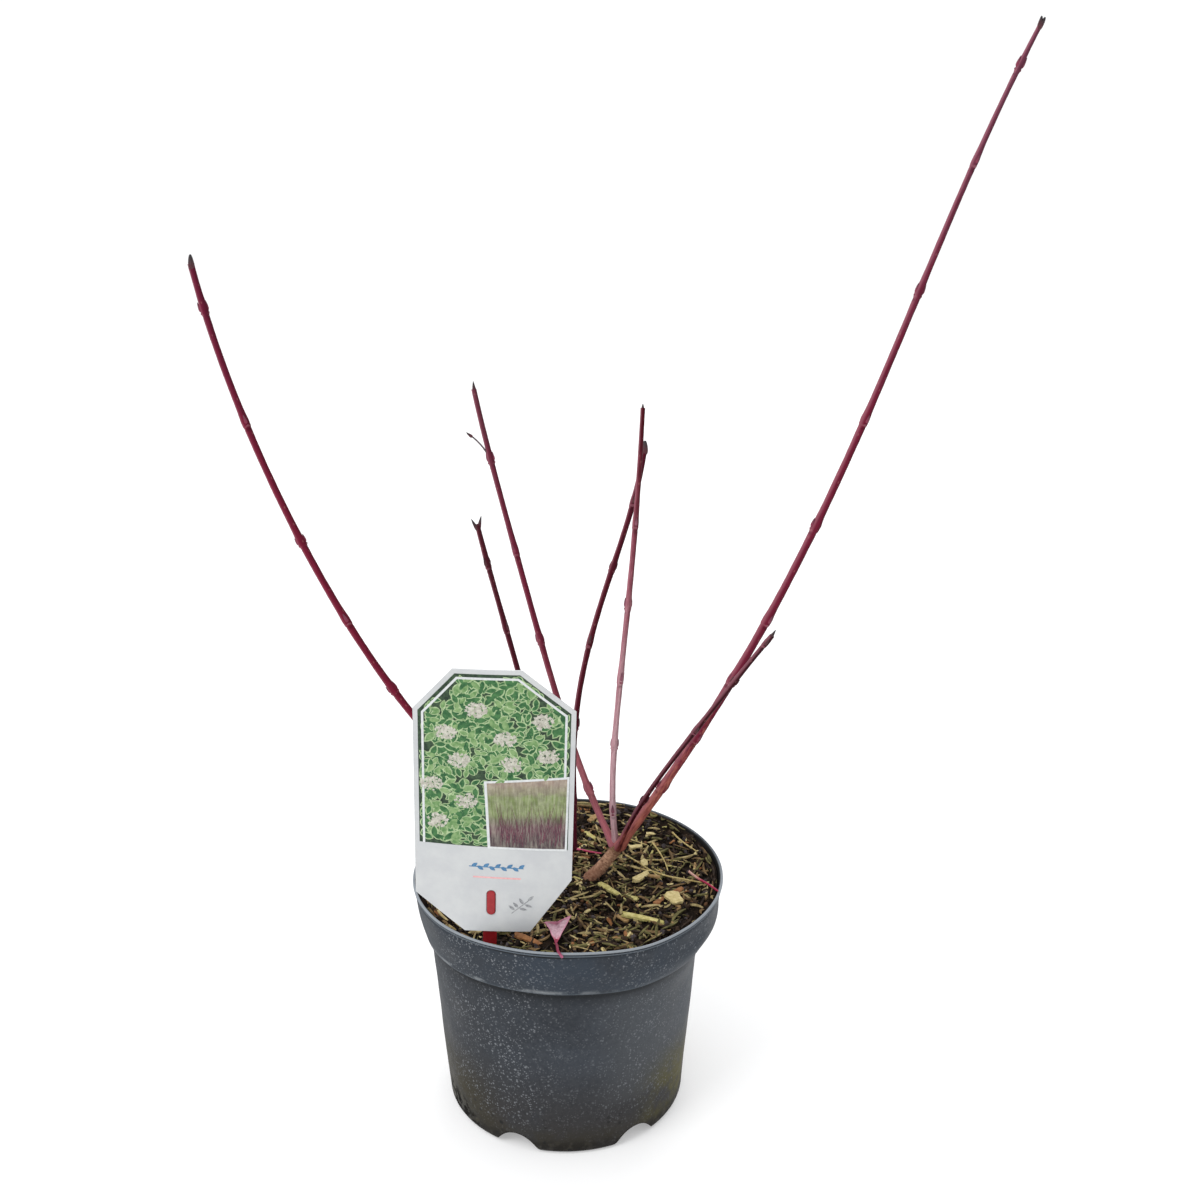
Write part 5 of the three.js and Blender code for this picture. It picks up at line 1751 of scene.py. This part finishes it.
    def build_stake(self) -> None:
        """Builds the stake: a flat blade behind the card, pointed in the soil, and the tongue in the slot."""
        wide, point, low, high = 3.5, 9.0, -24.0, 44.0
        blade = np.array([[0.0, low], [wide, low + point], [wide, high], [-wide, high], [-wide, low + point]])
        front = self.thickness / 2 + CLEARANCE + 0.05
        body = pillow(refined(blade, 2.0, closed=True), front, front + 1.6, 0.35)
        from_middle = body.points[:, 1] - front - 0.8
        groove = hump(body.points[:, 0], 1.1) * (np.abs(from_middle) > 0.75)
        body.points[:, 1] -= 0.25 * groove * np.sign(from_middle)
        tongue = pillow(self.oval(CLEARANCE), -self.thickness / 2 - 0.7, front + 0.5, 0.5)
        red = Finish("label_stake", "8a1c20", "a02a30", 0.3, 240, 0.03)
        piece = put("stake", self.placed(joined([body, tongue]), bent=False), red, 45)
        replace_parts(piece, "label_stake")


# Fallen bits


@dataclass
class FallenBits:
    """What fell on the soil: a folded pink leaf whose stalk hangs over the lip, and two bare leaf stalks."""

    soil: Soil
    width: float = 13.0
    fold: float = 0.45
    lift: float = 1.4

    def level(self) -> float:
        """The height of the leaf's foot."""
        return float(soil_height(*np.array(LEAF).T).max()) + 1.6

    def blade(self) -> Surface:
        """The leaf's blade: wider towards its far end, folded along its middle and lifted at its tip.

        Its width at a share t of its length is 0.07 + 1.05 t^1.15 of its full width, made a little ragged.
        Its far end slants. Its height is the fold times the distance from the middle, plus lift t^2.
        """
        (x0, y0), (x1, y1) = LEAF
        length, heading = math.hypot(x1 - x0, y1 - y0), math.atan2(y1 - y0, x1 - x0)
        across = np.linspace(0.5, -0.5, 31)
        side = np.repeat([1.0, -1.0], 31)
        t, s = np.meshgrid(np.linspace(0, 1, 60), np.concatenate([across, across[::-1]]), indexing="ij")
        out = np.abs(2 * s)
        ragged = 1 + 0.07 * out ** 3 * np.sin(17 * t + 3 * s) * (1 - t)
        y = s * self.width * (0.07 + 1.05 * t ** 1.15) * ragged
        reach = length * t * (1 - (0.16 + 0.34 * s) * t ** 3) + 0.5 * np.sin(21 * s) * t ** 8
        wave = 0.35 * np.sin(0.9 * y + 4 * t) * t + 0.25 * out ** 4 * np.sin(15 * t)
        thick = 0.16 * (1 - 0.75 * out ** 6)
        vein = 0.28 * hump(y, 0.4) * (1 - 0.6 * t)
        z = self.fold * np.abs(y) + self.lift * t ** 2 + wave + side * thick - vein
        slant = np.sin(math.pi * (7 * t - 2.4 * np.abs(s)))
        marks = {
            "along": t,
            "edge": np.maximum(out ** 1.5, smoothstep(t, 0.86, 1.0)),
            "vein": np.clip(hump(y, 0.3) + 0.6 * hump(slant, 0.16), 0, 1),
        }
        cos, sin = math.cos(heading), math.sin(heading)
        places = [x0 + reach * cos - y * sin, y0 + reach * sin + y * cos, self.level() + z]
        return tube(np.stack(places, -1), **marks)

    def stalk(self, ends: tuple[tuple[float, float], ...], thickness: float, over: bool) -> Surface:
        """A bare stalk just clear of the soil, which rises over the lip at its far end if over."""
        (x0, y0), (x1, y1) = ends
        t = np.array([0, 0.33, 0.66, 1])
        x, y = x0 + (x1 - x0) * t, y0 + (y1 - y0) * t
        z = soil_height(x, y) + thickness / 2 + 0.55
        if over:
            share = smoothstep(np.arange(4.0), 0.5, 3)
            z = np.maximum(z, z + (POT_HEIGHT + thickness / 2 + 0.45 - z) * share)
        return strand(np.stack([x, y, z], -1), thickness * 1.15, 0.7)

    def build(self) -> None:
        """Builds the leaf, its stalk and the two bare stalks."""
        leaf = put("leaf_blade", self.blade(), LeafFinish(), 80)
        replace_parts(leaf, "fallen_leaf")
        ground, height = self.level(), POT_HEIGHT + self.soil.pot.front_rise
        (fx, fy), (tx, ty) = LEAF
        hang_x, hang_y = -2.2, -83.6
        line = np.array([
            [fx + 0.2 * (tx - fx), fy + 0.2 * (ty - fy), ground + 0.3],
            [fx, fy, ground],
            [fx + 0.6 * (hang_x - fx), fy + 0.6 * (hang_y - fy), ground + 0.75 * (height + 1.6 - ground)],
            [hang_x, hang_y, height + 1.2],
            [-0.9, -85.9, height + 0.2],
            [0.3, -86.3, height - 1.4],
        ])
        crimson = StalkFinish("leaf_stalk", "7c2440", "a85a78", 0.8)
        put("leaf_stalk", strand(line, 1.5, 0.9), crimson, 60)
        right = self.stalk(RIGHT_STALK, 1.3, True)
        pale = StalkFinish("pale_stalk", "c39a8c", "9c1440", 0.38)
        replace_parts(put("right_stalk", right, pale, 60), "fallen_stalk_right")
        left = self.stalk(LEFT_STALK, 1.2, False)
        pink = StalkFinish("pink_stalk", "c05a78", "b03a5c")
        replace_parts(put("left_stalk", left, pink, 60), "fallen_stalk_left")


# Studio


@dataclass
class Studio:
    """A pale floor, an even pale sky, soft lamps and the camera of the photograph's view."""

    camera_place: tuple[float, float, float] = (0.019, -0.8, 0.6065)
    camera_tilt: float = 68.8
    lens: float = 50.0
    sky: float = 0.66
    sky_left: float = 0.12
    sky_rise: float = 0.62
    floor_reach: float = 30000.0
    floor_drop: float = 0.2
    lamp_aim: tuple[float, float, float] = (0, 0, 0.22)
    lamps: tuple[tuple[str, tuple[float, float, float], float, float], ...] = (
        ("key", (-1.05, -0.95, 1.55), 0.9, 14.0),
        ("back", (0.3, 1.5, 1.5), 1.2, 8.0),
    )

    def build(self) -> None:
        """Builds the floor, the sky, the lamps and the camera."""
        scene = bpy.context.scene
        scene.view_settings.view_transform = "Standard"
        corners = np.array([[-1, -1, 0], [1, -1, 0], [1, 1, 0], [-1, 1, 0]])
        points = corners * self.floor_reach - [0, 0, self.floor_drop]
        mesh = bpy.data.meshes.new("floor")
        mesh.from_pydata((points * MM).tolist(), [], [(0, 1, 2, 3)])
        mesh.materials.append(material(FloorFinish()))
        floor = bpy.data.objects.new("floor", mesh)
        scene.collection.objects.link(floor)
        world = bpy.data.worlds.new("sky")
        world.use_nodes = True
        tree = Tree(world.node_tree)
        background = world.node_tree.nodes["Background"]
        background.inputs["Color"].default_value = (0.985, 0.99, 1.0, 1.0)
        axes = tree.axes(tree.place("Generated"))
        upward = tree.times(tree.math("MAXIMUM", axes["Z"], 0.0), self.sky_rise)
        leftward = tree.times(axes["X"], -self.sky_left)
        tree.feed(background.inputs["Strength"], tree.plus(tree.plus(upward, leftward), self.sky))
        scene.world = world
        for name, place, size, power in self.lamps:
            self.lamp(name, place, size, power)
        camera = bpy.data.objects.new("camera", bpy.data.cameras.new("camera"))
        camera.data.lens = self.lens
        camera.data.clip_start = 0.01
        camera.location = self.camera_place
        camera.rotation_euler = (math.radians(self.camera_tilt), 0, 0)
        scene.collection.objects.link(camera)
        scene.camera = camera

    def lamp(self, name: str, place: tuple[float, float, float], size: float, power: float) -> None:
        """Adds a soft square lamp that faces the shrub's middle."""
        light = bpy.data.lights.new(name, "AREA")
        light.size = size
        light.energy = power
        holder = bpy.data.objects.new(name, light)
        holder.location = place
        holder.rotation_euler = (Vector(self.lamp_aim) - Vector(place)).to_track_quat("-Z", "Y").to_euler()
        bpy.context.scene.collection.objects.link(holder)


def main() -> None:
    """Builds the studio and the plant in order."""
    logging.basicConfig(level=logging.INFO, format="%(message)s")
    pot = Pot()
    soil = Soil(pot)
    for part in (Studio(), pot, soil, Shrub(), Label(), FallenBits(soil)):
        part.build()
        LOG.info("%s is made", type(part).__name__)


if __name__ == "__main__":
    main()
